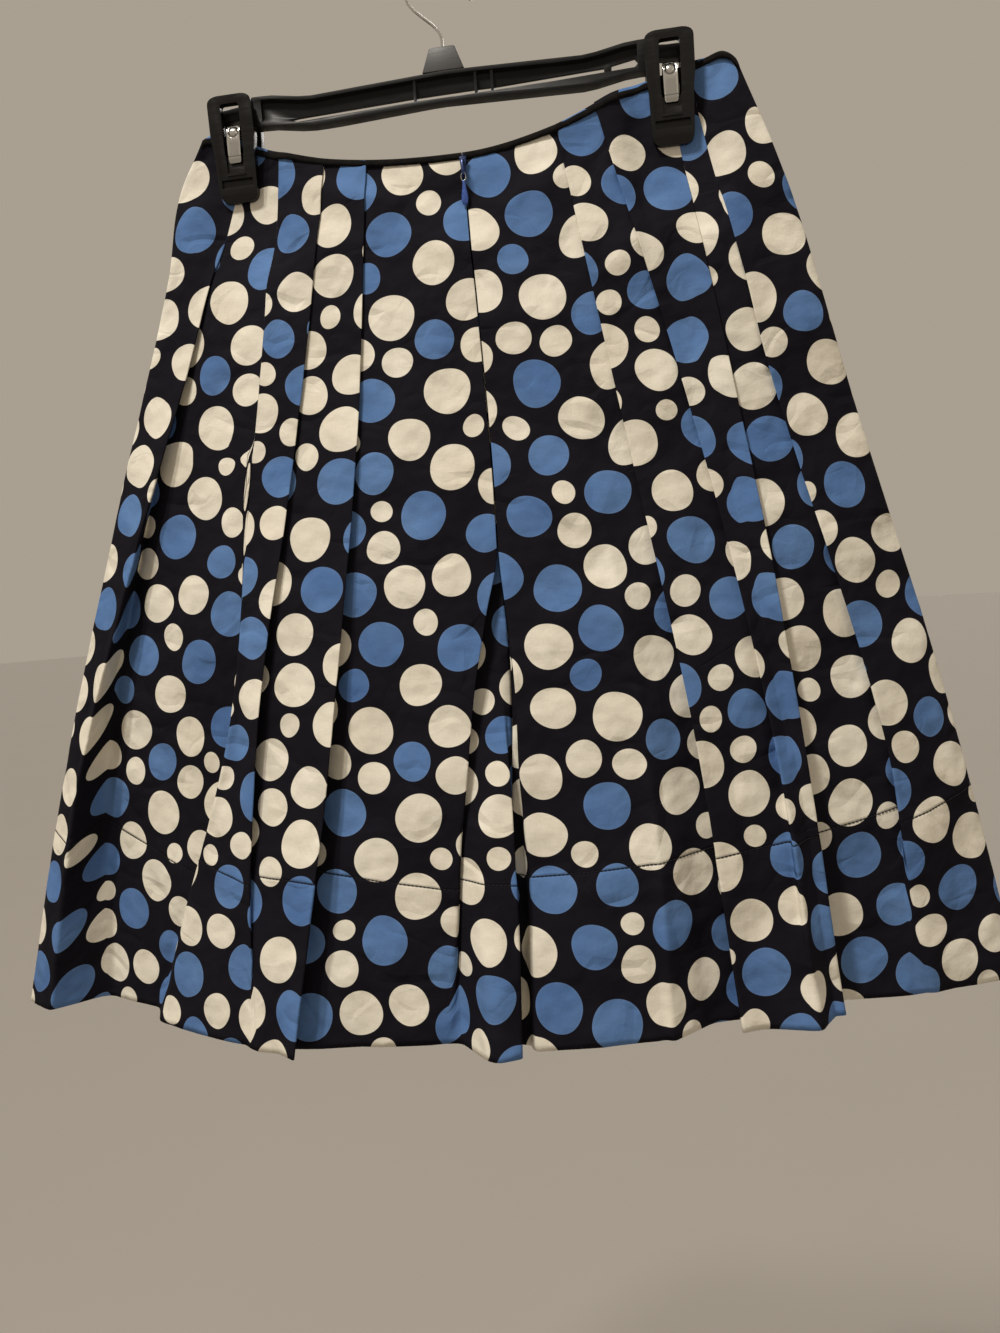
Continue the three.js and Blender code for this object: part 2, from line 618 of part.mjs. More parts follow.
function jawOutline() {
  const { width, topZ, bottomZ } = CLIP;
  const half = width / 2;
  const shape = new THREE.Shape();
  shape.moveTo(-half + 9, bottomZ);
  shape.lineTo(half - 9, bottomZ);
  shape.quadraticCurveTo(half - 2.6, bottomZ + 0.4, half - 2.2, bottomZ + 8);
  shape.lineTo(half - 1.4, -116);
  shape.lineTo(half, -106);
  shape.lineTo(half, topZ - 6);
  shape.quadraticCurveTo(half, topZ - 0.6, half - 8, topZ);
  shape.lineTo(-half + 8, topZ);
  shape.quadraticCurveTo(-half, topZ - 0.6, -half, topZ - 6);
  shape.lineTo(-half, -106);
  shape.lineTo(-half + 1.4, -116);
  shape.lineTo(-half + 2.2, bottomZ + 8);
  shape.quadraticCurveTo(-half + 2.6, bottomZ + 0.4, -half + 9, bottomZ);
  return shape;
}

// A jaw of the zip side. Its inner face stands clear of the bar and presses on the cloth.
function jawBody() {
  const pad = PINCH_Y + CLOTH / 2 + SEAM_GAP;
  const profile = outline([
    [-9, CLIP.topZ + 1], [-6.2, -85], [-4.9, -90], [-4.9, -100], [-4.4, -113], [-pad, -134],
    [-pad, CLIP.bottomZ - 1], [-4.6, CLIP.bottomZ - 1], [-7.2, -146], [-8.2, -136],
    [-10.4, -112], [-11.6, -92], [-12.6, CLIP.topZ + 1],
  ]);
  const half = CLIP.width / 2 + 1;
  const hole = (shape, fromY, toY) => solid(plateXZ(shape, fromY, toY));
  const { windowHalf: w } = CLIP;
  return solid(barYZ(profile, -half, half))
    .intersect(solid(plateXZ(jawOutline(), -20, 0)))
    .subtract(hole(roundedBox(w, -83, -120, 2), -20, 0))
    .subtract(hole(roundedBox(w - 0.6, -112, -131.5, 1.2), -20, -7.1))
    .subtract(hole(roundedBox(12.2, -135.8, -141.6, 0.8), -20, -5.8))
    .add(hole(roundedBox(w, -132.2, -133.6, 0.4), -9.3, -7));
}

// An arch over the cloth's edge with a leg through the window of each jaw
function springBody() {
  const { width, thickness } = SPRING;
  const leg = [
    [-7.9, -124.5], [-8.2, -118.5], [-9.3, -111], [-8.9, -102], [-5.6, -96], [0, -94.3],
  ];
  const other = leg.slice(0, -1).reverse().map(([y, z]) => [-y, z]);
  const points = [...leg, ...other].map(([y, z]) => new THREE.Vector3(0, y, z));
  const [w, t] = [width / 2, thickness / 2];
  const strip = outline([[-w, -t], [w, -t], [w, t], [-w, t]]);
  return sweptAlong(strip, points, 30);
}

// ---------------------------------------------------------------- zip slider and pull

// The seam's place behind the slider, and the slider's front face, clear of the cloth
function zipPlace() {
  const faceAt = (z) => depthAt(ZIP_SIDE, centreAt(z).line, z, 0) - CLOTH / 2;
  const back = faceAt(SLIDER.bottomZ) - SLIDER.offCloth;
  return { x: centreAt(SLIDER.bottomZ).line, front: back - SLIDER.thickness };
}

// A tapered body against the seam, with a bridge whose foot runs through the pull's eye
function sliderBody(front) {
  const { topZ, bottomZ, halfWidth: w, thickness } = SLIDER;
  const [reach, t] = [front - BRIDGE.reach, BRIDGE.thickness];
  const footZ = PULL_AXIS.z - 0.9;
  const body = plateXZ(outline([
    [-w, topZ], [-w + 1, topZ - 9], [-w + 1.2, bottomZ], [w - 1.2, bottomZ],
    [w - 1, topZ - 9], [w, topZ],
  ]), front, front + thickness);
  const bridge = outline([
    [front + 0.4, topZ - 1.5], [reach + 1.2, topZ - 3], [reach, topZ - 5.5],
    [reach, footZ - t], [front + 0.4, footZ - t], [front + 0.4, footZ],
    [reach + t, footZ], [reach + t, topZ - 6.2], [reach + 1.8, topZ - 4.6],
    [front + 0.4, topZ - 3],
  ]);
  return solid(body).add(solid(barYZ(bridge, -BRIDGE.halfWidth, BRIDGE.halfWidth)));
}

// A drop-shaped tab that turns about the rim of its long eye, which is at 0, 0
function pullBody() {
  const { length, halfWidth: w, thickness, rim, eye } = PULL;
  const neck = 0.82 * w;
  const shape = new THREE.Shape();
  shape.moveTo(-neck, -2 * rim);
  shape.quadraticCurveTo(0, 4 * rim, neck, -2 * rim);
  shape.lineTo(neck, -rim - eye - 0.6);
  shape.bezierCurveTo(neck, -10, w * 1.15, -14, w, -length + 3);
  shape.quadraticCurveTo(w * 0.7, -length, 0, -length);
  shape.quadraticCurveTo(-w * 0.7, -length, -w, -length + 3);
  shape.bezierCurveTo(-w * 1.15, -14, -neck, -10, -neck, -rim - eye - 0.6);
  const hole = roundedBox(1.25, -rim, -rim - eye, 1);
  return solid(plateXZ(shape, -thickness / 2, thickness / 2))
    .subtract(solid(plateXZ(hole, -thickness, thickness)));
}

// ---------------------------------------------------------------- assembly

const skirt = new THREE.Group();

function addPiece(name, geometry, colour) {
  const mesh = new THREE.Mesh(geometry, new THREE.MeshStandardMaterial(COLOURS[colour]));
  mesh.name = name;
  skirt.add(mesh);
  return mesh;
}

// turnedIn counts a panel's stations behind the zip, at its right end or (below 0) its left
const PANELS = [
  { name: 'back_left', side: ZIP_SIDE, path: backLeftPath, turnedIn: 5 },
  { name: 'back_right', side: ZIP_SIDE, path: backRightPath, turnedIn: -2 },
  { name: 'front', side: FAR_SIDE, path: frontPath, turnedIn: 0 },
];
for (const { name, side, path, turnedIn } of PANELS) {
  const rows = panelRows(side, path);
  const last = rows[0].near.length - Math.max(turnedIn, 0);
  const binding = bindingGeometry(rows, side, Math.max(-turnedIn, 0), last);
  addPiece(`${name}_panel`, wallGeometry(rows), 'cotton');
  addPiece(`${name}_waist_binding`, binding, 'binding');
}

const zip = zipPlace();
addPiece('zip_slider', fromSolid(sliderBody(zip.front)), 'enamel').position.x = zip.x;
const pull = addPiece('zip_pull', fromSolid(pullBody()), 'enamel');
pull.position.set(zip.x, zip.front - PULL_AXIS.offBody, PULL_AXIS.z);

addPiece('hanger_bar', hangerBar(), 'plastic');
addPiece('hanger_size_cap', sizeCap(), 'cap');
addPiece('hanger_hook', hookWire(), 'steel');
for (const [where, x] of [['left', -PINCH_X], ['right', PINCH_X]]) {
  const jaw = fromSolid(jawBody());
  addPiece(`${where}_clip_near_jaw`, jaw, 'plastic').position.x = x;
  const farJaw = addPiece(`${where}_clip_far_jaw`, jaw.clone(), 'plastic');
  farJaw.position.x = x;
  farJaw.rotation.z = Math.PI;
  addPiece(`${where}_clip_spring`, springBody(), 'steel').position.x = x;
}

export default skirt;
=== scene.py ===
# A pleated a-line skirt pinched by the waist on a clip hanger, dressed over its frame.
# The cloth's tables are in millimetres and everything in Blender is in metres.

import math
import random

import bmesh
import bpy
import numpy as np
from mathutils import Matrix, Vector, noise


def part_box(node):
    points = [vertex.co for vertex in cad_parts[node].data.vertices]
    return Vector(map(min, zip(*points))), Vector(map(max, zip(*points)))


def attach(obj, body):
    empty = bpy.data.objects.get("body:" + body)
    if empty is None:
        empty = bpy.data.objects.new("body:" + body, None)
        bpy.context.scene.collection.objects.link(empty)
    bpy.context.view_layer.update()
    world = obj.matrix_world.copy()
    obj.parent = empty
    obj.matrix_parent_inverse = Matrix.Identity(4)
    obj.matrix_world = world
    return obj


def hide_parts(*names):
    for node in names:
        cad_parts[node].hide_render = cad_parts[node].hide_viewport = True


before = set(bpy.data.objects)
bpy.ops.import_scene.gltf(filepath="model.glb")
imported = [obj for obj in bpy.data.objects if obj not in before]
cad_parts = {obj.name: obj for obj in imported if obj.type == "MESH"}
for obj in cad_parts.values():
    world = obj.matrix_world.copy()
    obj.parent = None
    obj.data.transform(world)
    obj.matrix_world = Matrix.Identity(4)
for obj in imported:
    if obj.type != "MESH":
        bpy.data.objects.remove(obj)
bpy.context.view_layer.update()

bl_info = {
    "name": "Pleated Skirt on a Clip Hanger",
    "version": (1, 0, 0),
    "blender": (4, 5, 0),
    "location": "View3D > Sidebar > Skirt",
    "description": "Builds a dotted cotton skirt with pressed pleats, and its hanger",
    "category": "Add Mesh",
}

MM = 0.001
ROOT = "skirt on hanger"
PULL_BODY = "zip pull"

# ---- The cloth's form

HEM_Z = -765.0
TOP_Z = -140.0
LEVELS = (TOP_Z, -345.0, -560.0, HEM_Z)
NEAR, FAR = -1, 1

# The clips' pinch: how far from the middle, how wide and how soft across, then the height
# where it starts to let go, over what drop, and how far the cloth is from the middle in it
PINCH_X, PINCH_HALF, PINCH_FADE = 161.0, 21.0, 21.0
PINCH_Z, PINCH_DROP, PINCH_Y = -156.0, 74.0, 1.5
FREE_TO_RISE, FREE_TO_LAP = 0.45, 0.85  # how free of the pinch folds start to rise and lap
# A fold's lap where it lies flat, the lengths over which it rises and laps, its shoulder
FLAT_LAP, RISE_LENGTH, LAP_LENGTH, SHOULDER = -0.15, 12.0, 14.0, 5.0
SHOULDER_SHARE, SHOULDER_RISE, VALLEY_SOFT = 0.4, 0.6, 1.2
PRESSED_FLAT, PRESSED_DROP = 0.36, 330.0  # pleats lie flatter near the waist
CORNER_DROP, CORNER_RUN, CORNER_FADE = 6.0, 13.0, 70.0  # rounding of the waist's ends
TURN_BACK, TURN_DEPTH, TURN_RUN = 0.6, 0.8, 1.6  # least size of the turn at a side seam
SIDE_GAP, SEAM_GAP = 0.1, 0.6  # between two panels at the sides and at the centre

# The side edges: z, then for the left and right edge its x, how far back it is
# and how round the turn is there
SIDE_COLUMNS = ("z", "left", "right", "left_y", "right_y", "left_turn", "right_turn")
SIDES = (
    (-97, -188, 208, 0, 0, 1, 1),
    (-140, -211, 223, 0, 0, 1.5, 1.5),
    (-200, -225, 242, -1, 1, 2.5, 3),
    (-345, -275, 278, -3, 3, 4, 5),
    (-560, -344, 334, -7, 7, 7, 8),
    (HEM_Z, -398, 379, -14, 19, 8, 9),
)

WAIST_COLUMNS = ("x", NEAR, FAR)
WAIST = (
    (-188, -99, -100), (-144, -115, -117), (-87, -133, -136), (11, -142, -146),
    (79, -131, -136), (140, -108, -112), (177, -98.5, -98.5), (187, -95.5, -94.5),
    (197, -93, -93.2), (208, -96, -96),
)

BELLY = {NEAR: (12.0, 95.0), FAR: (7.0, 70.0)}  # how far each side swells, waist and hem
BELLY_ROUND, BELLY_CURVE = 2.2, 1.05

# edge is 1 where the folded edge points right. below is where the fold starts under the
# waist edge, and SEWN_IN is a pleat that is caught in the waist seam. strip is how many
# stations lie before it. x, lap, rise and sink are at LEVELS, and so is soft, the edge's
# roundness.
SEWN_IN = -40.0
FOLD_COLUMNS = ("name", "edge", "below", "strip", "x", "lap", "rise", "sink", "soft")
BACK_LEFT_FOLDS = (
    ("A", 1, 50, 1, (-163, -236, -318, -368), (5, 8, -6, -34), (0, 6, 9, 1),
     (0, 7, 20, 44), (1, 2, 6, 16)),
    ("A flank", -1, 200, 2, (-130, -158, -190, -268), (-6, -6, 3, -8),
     (0, 0, 4, -24), (0, 0, 12, 38), (30, 30, 8, 10)),
    ("B", 1, SEWN_IN, 1, (-93, -124, -161, -172), (9, 11, 12, -7), (2.8, 3.2, 9, 10),
     (1.8, 1.8, 2, -13), (0.8, 1, 1.6, 9)),
    ("C", 1, SEWN_IN, 1, (-60, -76, -102, -133), (9, 12, 15, 14), (2.8, 3.2, 12, 24),
     (1.8, 1.8, 2, -8), (0.8, 1, 1.5, 3)),
)
BACK_RIGHT_FOLDS = (
    ("D flank", 1, 120, 2, (54, 86, 116, 124), (-12, -15, -22, -26), (0, 1, 6, 9),
     (0, 1, 6, 13), (20, 20, 16, 12)),
    ("D", -1, SEWN_IN, 1, (80, 114, 149, 170), (9, 11, 13, 8), (2.8, 3.2, 6, 8),
     (1.8, 1.8, 8, 14), (0.8, 1, 1.6, 3)),
    ("E", -1, SEWN_IN, 1, (112, 162, 201, 223), (9, 10, 5, -7), (2.8, 3, 8, 20),
     (1.8, 1.8, 2, -18), (0.8, 1.2, 3, 9)),
    ("F", 1, 62, 3, (163, 196, 223, 243), (6, 8, 9, 8), (0, 3, 8, 4),
     (0, 1.8, 4, 23), (1, 1.2, 2, 3)),
    ("G", -1, 76, 1, (181, 224, 277, 306), (6, 8, 8, -12), (0, 2.8, 2, -8),
     (0, 1.8, 4, 10), (1, 1.5, 5, 14)),
)
FRONT_FOLDS = (
    ("far A", 1, 56, 2, (-160, -226, -298, -332), (7, 10, 6, -16), (0, 3, 8, 15),
     (0, 1.8, 6, 14), (1, 2, 6, 12)),
    ("far B", 1, SEWN_IN, 4, (-84, -118, -160, -194), (9, 11, 12, 8), (2.8, 3.2, 8, 15),
     (1.8, 1.8, 4, 7), (0.8, 1, 2, 5)),
    ("far C", 1, SEWN_IN, 1, (-52, -72, -98, -116), (9, 12, 14, 12), (2.8, 3.2, 10, 17),
     (1.8, 1.8, 5, 9), (0.8, 1, 1.6, 4)),
    ("far D", -1, SEWN_IN, 3, (78, 104, 132, 152), (9, 11, 13, 10), (2.8, 3.2, 9, 19),
     (1.8, 1.8, 5, 7), (0.8, 1, 1.6, 4)),
    ("far E", -1, SEWN_IN, 1, (112, 146, 188, 224), (9, 11, 10, -10), (2.8, 3, 9, 12),
     (1.8, 1.8, 4, 12), (0.8, 1, 2.4, 9)),
    ("far F", -1, 70, 4, (178, 218, 268, 300), (6, 9, 8, -12), (0, 3, 6, 12),
     (0, 1.8, 5, 10), (1, 2, 5, 12)),
)

# The centre seam and the inverted pleat under the zip: each pair is the distance from the
# seam line and the rise from the swell of the side
CENTRE_COLUMNS = (
    "z", "line", "edge", "under", "flute", "lip", "tuck", "seam",
    "right_under", "right_edge",
)
SEWN_PLEAT = (
    (-0.5, 0), (-9, -4.4), (-6.4, -4.8), (-4.2, -4.8), (-2.1, -4.8), (-0.4, -4.8),
    (9, -4.4), (0.5, 0),
)
CENTRE_PLEAT = (
    (-140, 11, *SEWN_PLEAT), (-425, 22, *SEWN_PLEAT),
    (-475, 21, (-10, 0), (-18, -8), (-5, -9), (-2, -9), (0.5, -9), (3, -9),
     (14, -8), (5, 0)),
    (-525, 21, (-20, 0), (-30, -11), (-9, -10), (-2, -9.6), (1.2, -10.4), (4, -12),
     (17, -11), (8, 0)),
    (-580, 20, (-26, 0), (-35, -9), (-10, -2), (3, 1), (-1, -5), (3, -8),
     (13, -8), (8.5, -1)),
    (-645, 18, (-32, -1), (-37, -8), (-11, 10), (7, 11), (-2, -3), (1, -8),
     (9, -7), (14, -2)),
    (-705, 16, (-38, -1.5), (-37, -8), (-10, 19), (9, 15.5), (1, 0.5), (3.5, -5),
     (11, -3), (16.5, 5)),
    (HEM_Z, 14, (-48, -3), (-34, -4), (-8, 28), (10, 20), (4, 4), (6, -1),
     (14, 1), (18, 12)),
)
CENTRE_SOFT = {
    "edge": (0.6, 0.6, 1.2, 20), "under": (0.6, 0.6, 3, 20), "flute": (3, 3, 6, 12),
    "lip": (1, 1, 1.2, 2.5), "tuck": (0.6, 0.6, 2, 4), "right_under": (0.6, 0.6, 2, 4),
    "right_edge": (0.6, 0.6, 1.4, 4),
}

# Creases across the cloth: from and to in x and z, height (below 0 is a trough), width
CREASE_COLUMNS = ("x0", "z0", "x1", "z1", "height", "width")
NEAR_CREASES = (
    (-150, -158, -118, -300, 3.4, 9), (-166, -160, -205, -330, 2.8, 10),
    (-128, -150, -60, -196, -2.4, 10), (-110, -146, -20, -176, 1.8, 9),
    (-20, -172, 60, -168, -1.9, 9), (-30, -200, 50, -214, 1.7, 11),
    (36, -180, 100, -160, 2.0, 9), (140, -158, 118, -262, 2.9, 10),
    (176, -158, 214, -300, 3.1, 10), (60, -230, 92, -330, 1.9, 12),
    (-52, -240, -40, -420, 1.5, 14), (-220, -260, -262, -470, 2.4, 16),
    (196, -330, 240, -560, 1.9, 18), (40, -330, 66, -520, -1.7, 18),
    (-70, -470, -86, -660, 1.9, 20), (90, -560, 112, -740, -2.0, 22),
    (-240, -600, -262, -740, 2.3, 16), (300, -560, 330, -740, 2.5, 18),
    (88, -190, 108, -300, 1.8, 11), (-8, -230, 2, -380, -1.5, 13),
    (-96, -210, -112, -330, -1.8, 12), (150, -240, 172, -380, -1.9, 13),
    (210, -240, 246, -360, -1.8, 13), (128, -420, 150, -560, 1.6, 17),
)
FAR_CREASES = (
    (-150, -158, -124, -320, 2.2, 10), (-170, -160, -212, -360, 2.0, 11),
    (-120, -150, -40, -190, -1.5, 10), (0, -176, 90, -170, 1.1, 10),
    (140, -158, 120, -280, 1.8, 10), (176, -158, 220, -330, 2.2, 11),
    (-30, -280, -20, -460, 1.1, 16), (60, -320, 84, -540, -1.2, 18),
    (-230, -420, -262, -640, 1.6, 18), (230, -480, 262, -700, 1.5, 18),
    (-20, -560, -30, -720, 1.2, 22),
)

STITCH = (2.9, 2.3)  # from one to the next, and length
# A stitch's half sizes, the first in shares of its length, and how far out it lies
STITCH_SIZE, STITCH_OUT, STITCH_START = (0.62, 0.42, 0.28), 0.72, 1.5
# The tape's section: below the edge, out from the cloth's middle, and how ragged it is
BINDING_SECTION = (
    (4.4, 1.25, 1.0), (2.4, 1.45, 0.3), (0.4, 1.3, 0.0), (-0.5, 0.7, 0.0),
    (-0.5, -0.7, 0.0), (0.4, -1.3, 0.0), (2.4, -1.35, 0.3), (4.2, -1.1, 1.0),
)
BINDING_STEPS = 180
TAPE, TAPE_PRESSED = 0.3, 0.8  # the tape's thickness, and how flat it is in the pinch
RAGGED, RAGGED_LENGTH = 0.5, 6.0  # how uneven its lower edges are, and over what length
# Ripples along the hem's stitching: height, width, length, how much more in than out
PUCKER, PUCKER_WIDTH, PUCKER_LENGTH, PUCKER_IN = 0.3, 7.0, 3.1, 0.7
CREASE_BOW, CREASE_FADE = 0.08, 0.35  # shares of a crease's length
UNEVEN = ((62, 130, 2.4), (26, 48, 1.0), (12, 17, 0.42))  # width, height, size of swells
UNEVEN_TOP = 0.6  # the swells' share at the waist
HELD_DROP, HELD_COLUMNS = 30.0, 4.0  # no creases this near the waist and the side seams
OUT_SIDEWAYS, OUT_ROUND = 0.8, 5  # how the cloth's way out turns towards the sides
ROWS = 150
ROUND_STEPS, SMOOTH_STEPS = 5, 3  # points on a pressed fold and on a soft one
STRAIGHT_STEP = 5.0  # between points where the cloth is straight
CORNER_ROOM = 0.45  # share of the shorter side that a rounded corner may take
MOST_LEAN = 0.8  # of a strip from the level, as a sine


def table(rows, columns):
    return [dict(zip(columns, row)) for row in rows]


def smooth(t):
    t = np.clip(t, 0.0, 1.0)
    return t * t * (3 - 2 * t)


def mix(a, b, t):
    return a + (b - a) * t


def unit(vectors):
    length = np.linalg.norm(vectors, axis=-1, keepdims=True)
    return vectors / np.maximum(length, 1e-9)


def run_along(line):
    """How far along a line of points each point is."""
    steps = np.linalg.norm(np.diff(line, axis=0), axis=1)
    return np.concatenate([[0], np.cumsum(steps)])


def on_line(line, run, at):
    """The place on a line of points at one distance along it."""
    return [np.interp(at, run, line[:, k]) for k in range(3)]


def through(places, values, place):
    """A smooth curve through values with no overshoot, straight past both ends."""
    places, values = np.array(places, float), np.array(values, float)
    place = np.asarray(place, float)
    if places[-1] < places[0]:
        places, place = -places, -place
    slopes = np.diff(values) / np.diff(places)
    tangents = np.empty(len(places))
    tangents[0], tangents[-1] = slopes[0], slopes[-1]
    for i in range(1, len(places) - 1):
        before, after = slopes[i - 1], slopes[i]
        limit = 3 * min(abs(before), abs(after))
        middle = min(abs(before + after) / 2, limit)
        tangents[i] = 0 if before * after <= 0 else math.copysign(middle, after)
    i = np.clip(np.searchsorted(places, place) - 1, 0, len(places) - 2)
    span = places[i + 1] - places[i]
    t = (place - places[i]) / span
    curve = (
        (2 * t**3 - 3 * t**2 + 1) * values[i]
        + (t**3 - 2 * t**2 + t) * span * tangents[i]
        + (3 * t**2 - 2 * t**3) * values[i + 1]
        + (t**3 - t**2) * span * tangents[i + 1]
    )
    below = values[i] + tangents[i] * (place - places[i])
    above = values[i + 1] + tangents[i + 1] * (place - places[i + 1])
    return np.where(t < 0, below, np.where(t > 1, above, curve))


def at_level(values, z):
    return through(LEVELS, values, z)


def held_at_level(values, z):
    return through(LEVELS, values, np.minimum(z, TOP_Z))


def in_table(rows, columns, column, place):
    """A column's value at a place along the table's first column, held past its ends."""
    index = columns.index(column)
    places = [row[0] for row in rows]
    held = np.clip(place, min(places), max(places))
    return through(places, [row[index] for row in rows], held)


def side_at(column, z):
    return in_table(SIDES, SIDE_COLUMNS, column, z)


def waist_edge(side, x):
    return in_table(WAIST, WAIST_COLUMNS, side, x)


def pinch(x, z):
    across = 1 - smooth((np.abs(np.abs(x) - PINCH_X) - PINCH_HALF) / PINCH_FADE)
    return across * (1 - smooth((PINCH_Z - z) / PINCH_DROP))


def depth_at(side, x, z, relief):
    left, right = side_at("left", z), side_at("right", z)
    across = np.clip((x - left) / (right - left), 0, 1)
    share = np.abs(2 * across - 1)
    drop = np.clip((TOP_Z - z) / (TOP_Z - HEM_Z), 0, 1)
    belly = mix(*BELLY[side], drop**BELLY_CURVE)
    turn = mix(side_at("left_turn", z), side_at("right_turn", z), across)
    middle = mix(side_at("left_y", z), side_at("right_y", z), across)
    swell = turn + belly * (1 - share**BELLY_ROUND)
    pressed = pinch(x, z)
    folded = relief * smooth((1 - pressed) / FREE_TO_RISE)
    return middle + side * (mix(swell, PINCH_Y, pressed) + folded)


FREE = 1000.0  # roundness of a station that is no fold


def station(x, relief=0.0, soft=FREE, y=None, ends_strip=False):
    return {"x": x, "relief": relief, "soft": soft, "y": y, "ends": ends_strip}


def fold_stations(fold, z, drop, room):
    """The shoulder, folded edge and hidden valley of one fold."""
    edge = fold["edge"]
    opening = np.clip((drop - fold["below"]) / RISE_LENGTH, 0, 1)
    x = at_level(fold["x"], z)
    free = 1 - pinch(x, z)
    folding = smooth((drop - fold["below"] - RISE_LENGTH) / LAP_LENGTH) * smooth(
        (free - FREE_TO_RISE) / (FREE_TO_LAP - FREE_TO_RISE)
    )
    lap = mix(FLAT_LAP, held_at_level(fold["lap"], z), folding)
    pressed = mix(PRESSED_FLAT, 1.0, smooth(drop / PRESSED_DROP))
    rise = held_at_level(fold["rise"], z) * opening * pressed
    sink = held_at_level(fold["sink"], z) * opening * pressed
    soft = held_at_level(fold["soft"], z)
    reach = np.minimum(np.maximum(lap, 0) + SHOULDER, SHOULDER_SHARE * room)
    overlaps = max(fold["lap"]) > 0
    shoulder = station(x - edge * reach, SHOULDER_RISE * rise)
    crest = station(x, rise, soft)
    valley = station(x - edge * lap, -sink, soft * VALLEY_SOFT)
    if edge > 0:
        crest["ends"] = overlaps
        return [shoulder, crest, valley]
    valley["ends"] = overlaps
    return [valley, crest, shoulder]


def run_of_folds(folds, z, drop, first, last, last_strip):
    """A strip and a fold in turn from the first station to the last."""
    crests = [at_level(fold["x"], z) for fold in folds]
    walls = [first["x"], *crests, last["x"]]
    stations = [first]

    def fill(to, count):
        start = stations[-1]
        for i in range(1, count + 1):
            t = i / (count + 1)
            stations.append(
                station(mix(start["x"], to["x"], t), mix(start["relief"], to["relief"], t))
            )

    for i, fold in enumerate(folds):
        neighbour = walls[i] if fold["edge"] > 0 else walls[i + 2]
        found = fold_stations(fold, z, drop, np.abs(crests[i] - neighbour))
        fill(found[0], fold["strip"])
        stations.extend(found)
    fill(last, last_strip)
    stations.append(last)
    return stations


def side_turn(side, edge, z):
    """The stations where the cloth turns round at a side seam."""
    x, y = side_at(edge, z), side_at(edge + "_y", z)
    turn = side_at(edge + "_turn", z)
    inward = 1 if edge == "left" else -1
    return [
        station(x, y=y + side * SIDE_GAP / 2),
        station(x, y=y + side * np.maximum(TURN_BACK * turn, TURN_DEPTH)),
        station(x + inward * np.maximum(turn, TURN_RUN)),
    ]


def centre_station(key, z, ends_strip=False):
    """A station of the centre pleat."""
    zs, lines = [row[0] for row in CENTRE_PLEAT], [row[1] for row in CENTRE_PLEAT]
    pairs = [row[CENTRE_COLUMNS.index(key)] for row in CENTRE_PLEAT]
    level = np.minimum(z, zs[0])
    line, x, rise = (through(zs, values, level) for values in (lines, *zip(*pairs)))
    soft = held_at_level(CENTRE_SOFT[key], z) if key in CENTRE_SOFT else FREE
    return station(line + x, rise, soft, ends_strip=ends_strip)


def back_left_path(z, drop):
    turn = side_turn(NEAR, "left", z)
    edge = centre_station("edge", z, ends_strip=True)
    folds = table(BACK_LEFT_FOLDS, FOLD_COLUMNS)
    run = run_of_folds(folds, z, drop, turn[2], edge, 3)
    inner = [centre_station(key, z) for key in ("under", "flute", "lip", "tuck", "seam")]
    return [turn[0], turn[1], *run, *inner]


def back_right_path(z, drop):
    turn = side_turn(NEAR, "right", z)
    seam = centre_station("seam", z)
    start = station(seam["x"] + SEAM_GAP, seam["relief"])
    under = centre_station("right_under", z, ends_strip=True)
    folds = table(BACK_RIGHT_FOLDS, FOLD_COLUMNS)
    run = run_of_folds(folds, z, drop, centre_station("right_edge", z), turn[2], 1)
    return [start, under, *run, turn[1], turn[0]]


def front_path(z, drop):
    left, right = side_turn(FAR, "left", z), side_turn(FAR, "right", z)
    folds = table(FRONT_FOLDS, FOLD_COLUMNS)
    run = run_of_folds(folds, z, drop, left[2], right[2], 2)
    return [left[0], left[1], *run, right[1], right[0]]


def form_rows(side, path_at):
    """Each row's stations as points, with their roundness and where strips end."""
    level = path_at(np.full(1, TOP_Z), np.zeros(1))
    tops = np.array([float(waist_edge(side, float(np.ravel(s["x"])[0]))) for s in level])
    z = mix(tops[None, :], HEM_Z, np.linspace(0, 1, ROWS)[:, None])
    found = path_at(z, tops[None, :] - z)
    points, soft = np.zeros((*z.shape, 3)), np.zeros(z.shape)
    for i, s in enumerate(found):
        pick = lambda v: np.broadcast_to(v, z.shape)[:, i]
        x, height = pick(s["x"]), z[:, i]
        fixed = s["y"] is not None
        y = pick(s["y"]) if fixed else depth_at(side, x, height, pick(s["relief"]))
        points[:, i] = np.stack([x, y, height], axis=1)
        soft[:, i] = pick(s["soft"])
    return points, soft, [s["ends"] for s in found]


def rounded(points, soft):
    """Turns each row's corners into arcs. Also gives the column of each station."""
    steps = np.linalg.norm(np.diff(points, axis=1), axis=2)
    rows, n = points.shape[:2]
    columns, where = [points[:, 0]], [0]
    leave = points[:, 0]
    for i in range(1, n):
        if i == n - 1:
            arrive, arc = points[:, i], []
        else:
            room = CORNER_ROOM * np.minimum(steps[:, i - 1], steps[:, i])
            radius = np.minimum(soft[:, i], room)[:, None]
            arrive = points[:, i] - unit(points[:, i] - points[:, i - 1]) * radius
            away = points[:, i] + unit(points[:, i + 1] - points[:, i]) * radius
            count = SMOOTH_STEPS if np.min(soft[:, i]) >= FREE else ROUND_STEPS
            arc = [
                arrive * (1 - t) ** 2 + points[:, i] * 2 * t * (1 - t) + away * t * t
                for t in (k / (count - 1) for k in range(1, count))
            ]
        length = np.linalg.norm(arrive - leave, axis=1).max()
        between = max(int(length / STRAIGHT_STEP), 0)
        columns.extend(mix(leave, arrive, k / (between + 1)) for k in range(1, between + 1))
        columns.append(arrive)
        where.append(len(columns) - 1 + len(arc) // 2)
        columns.extend(arc)
        leave = columns[-1]
    return np.stack(columns, axis=1), where


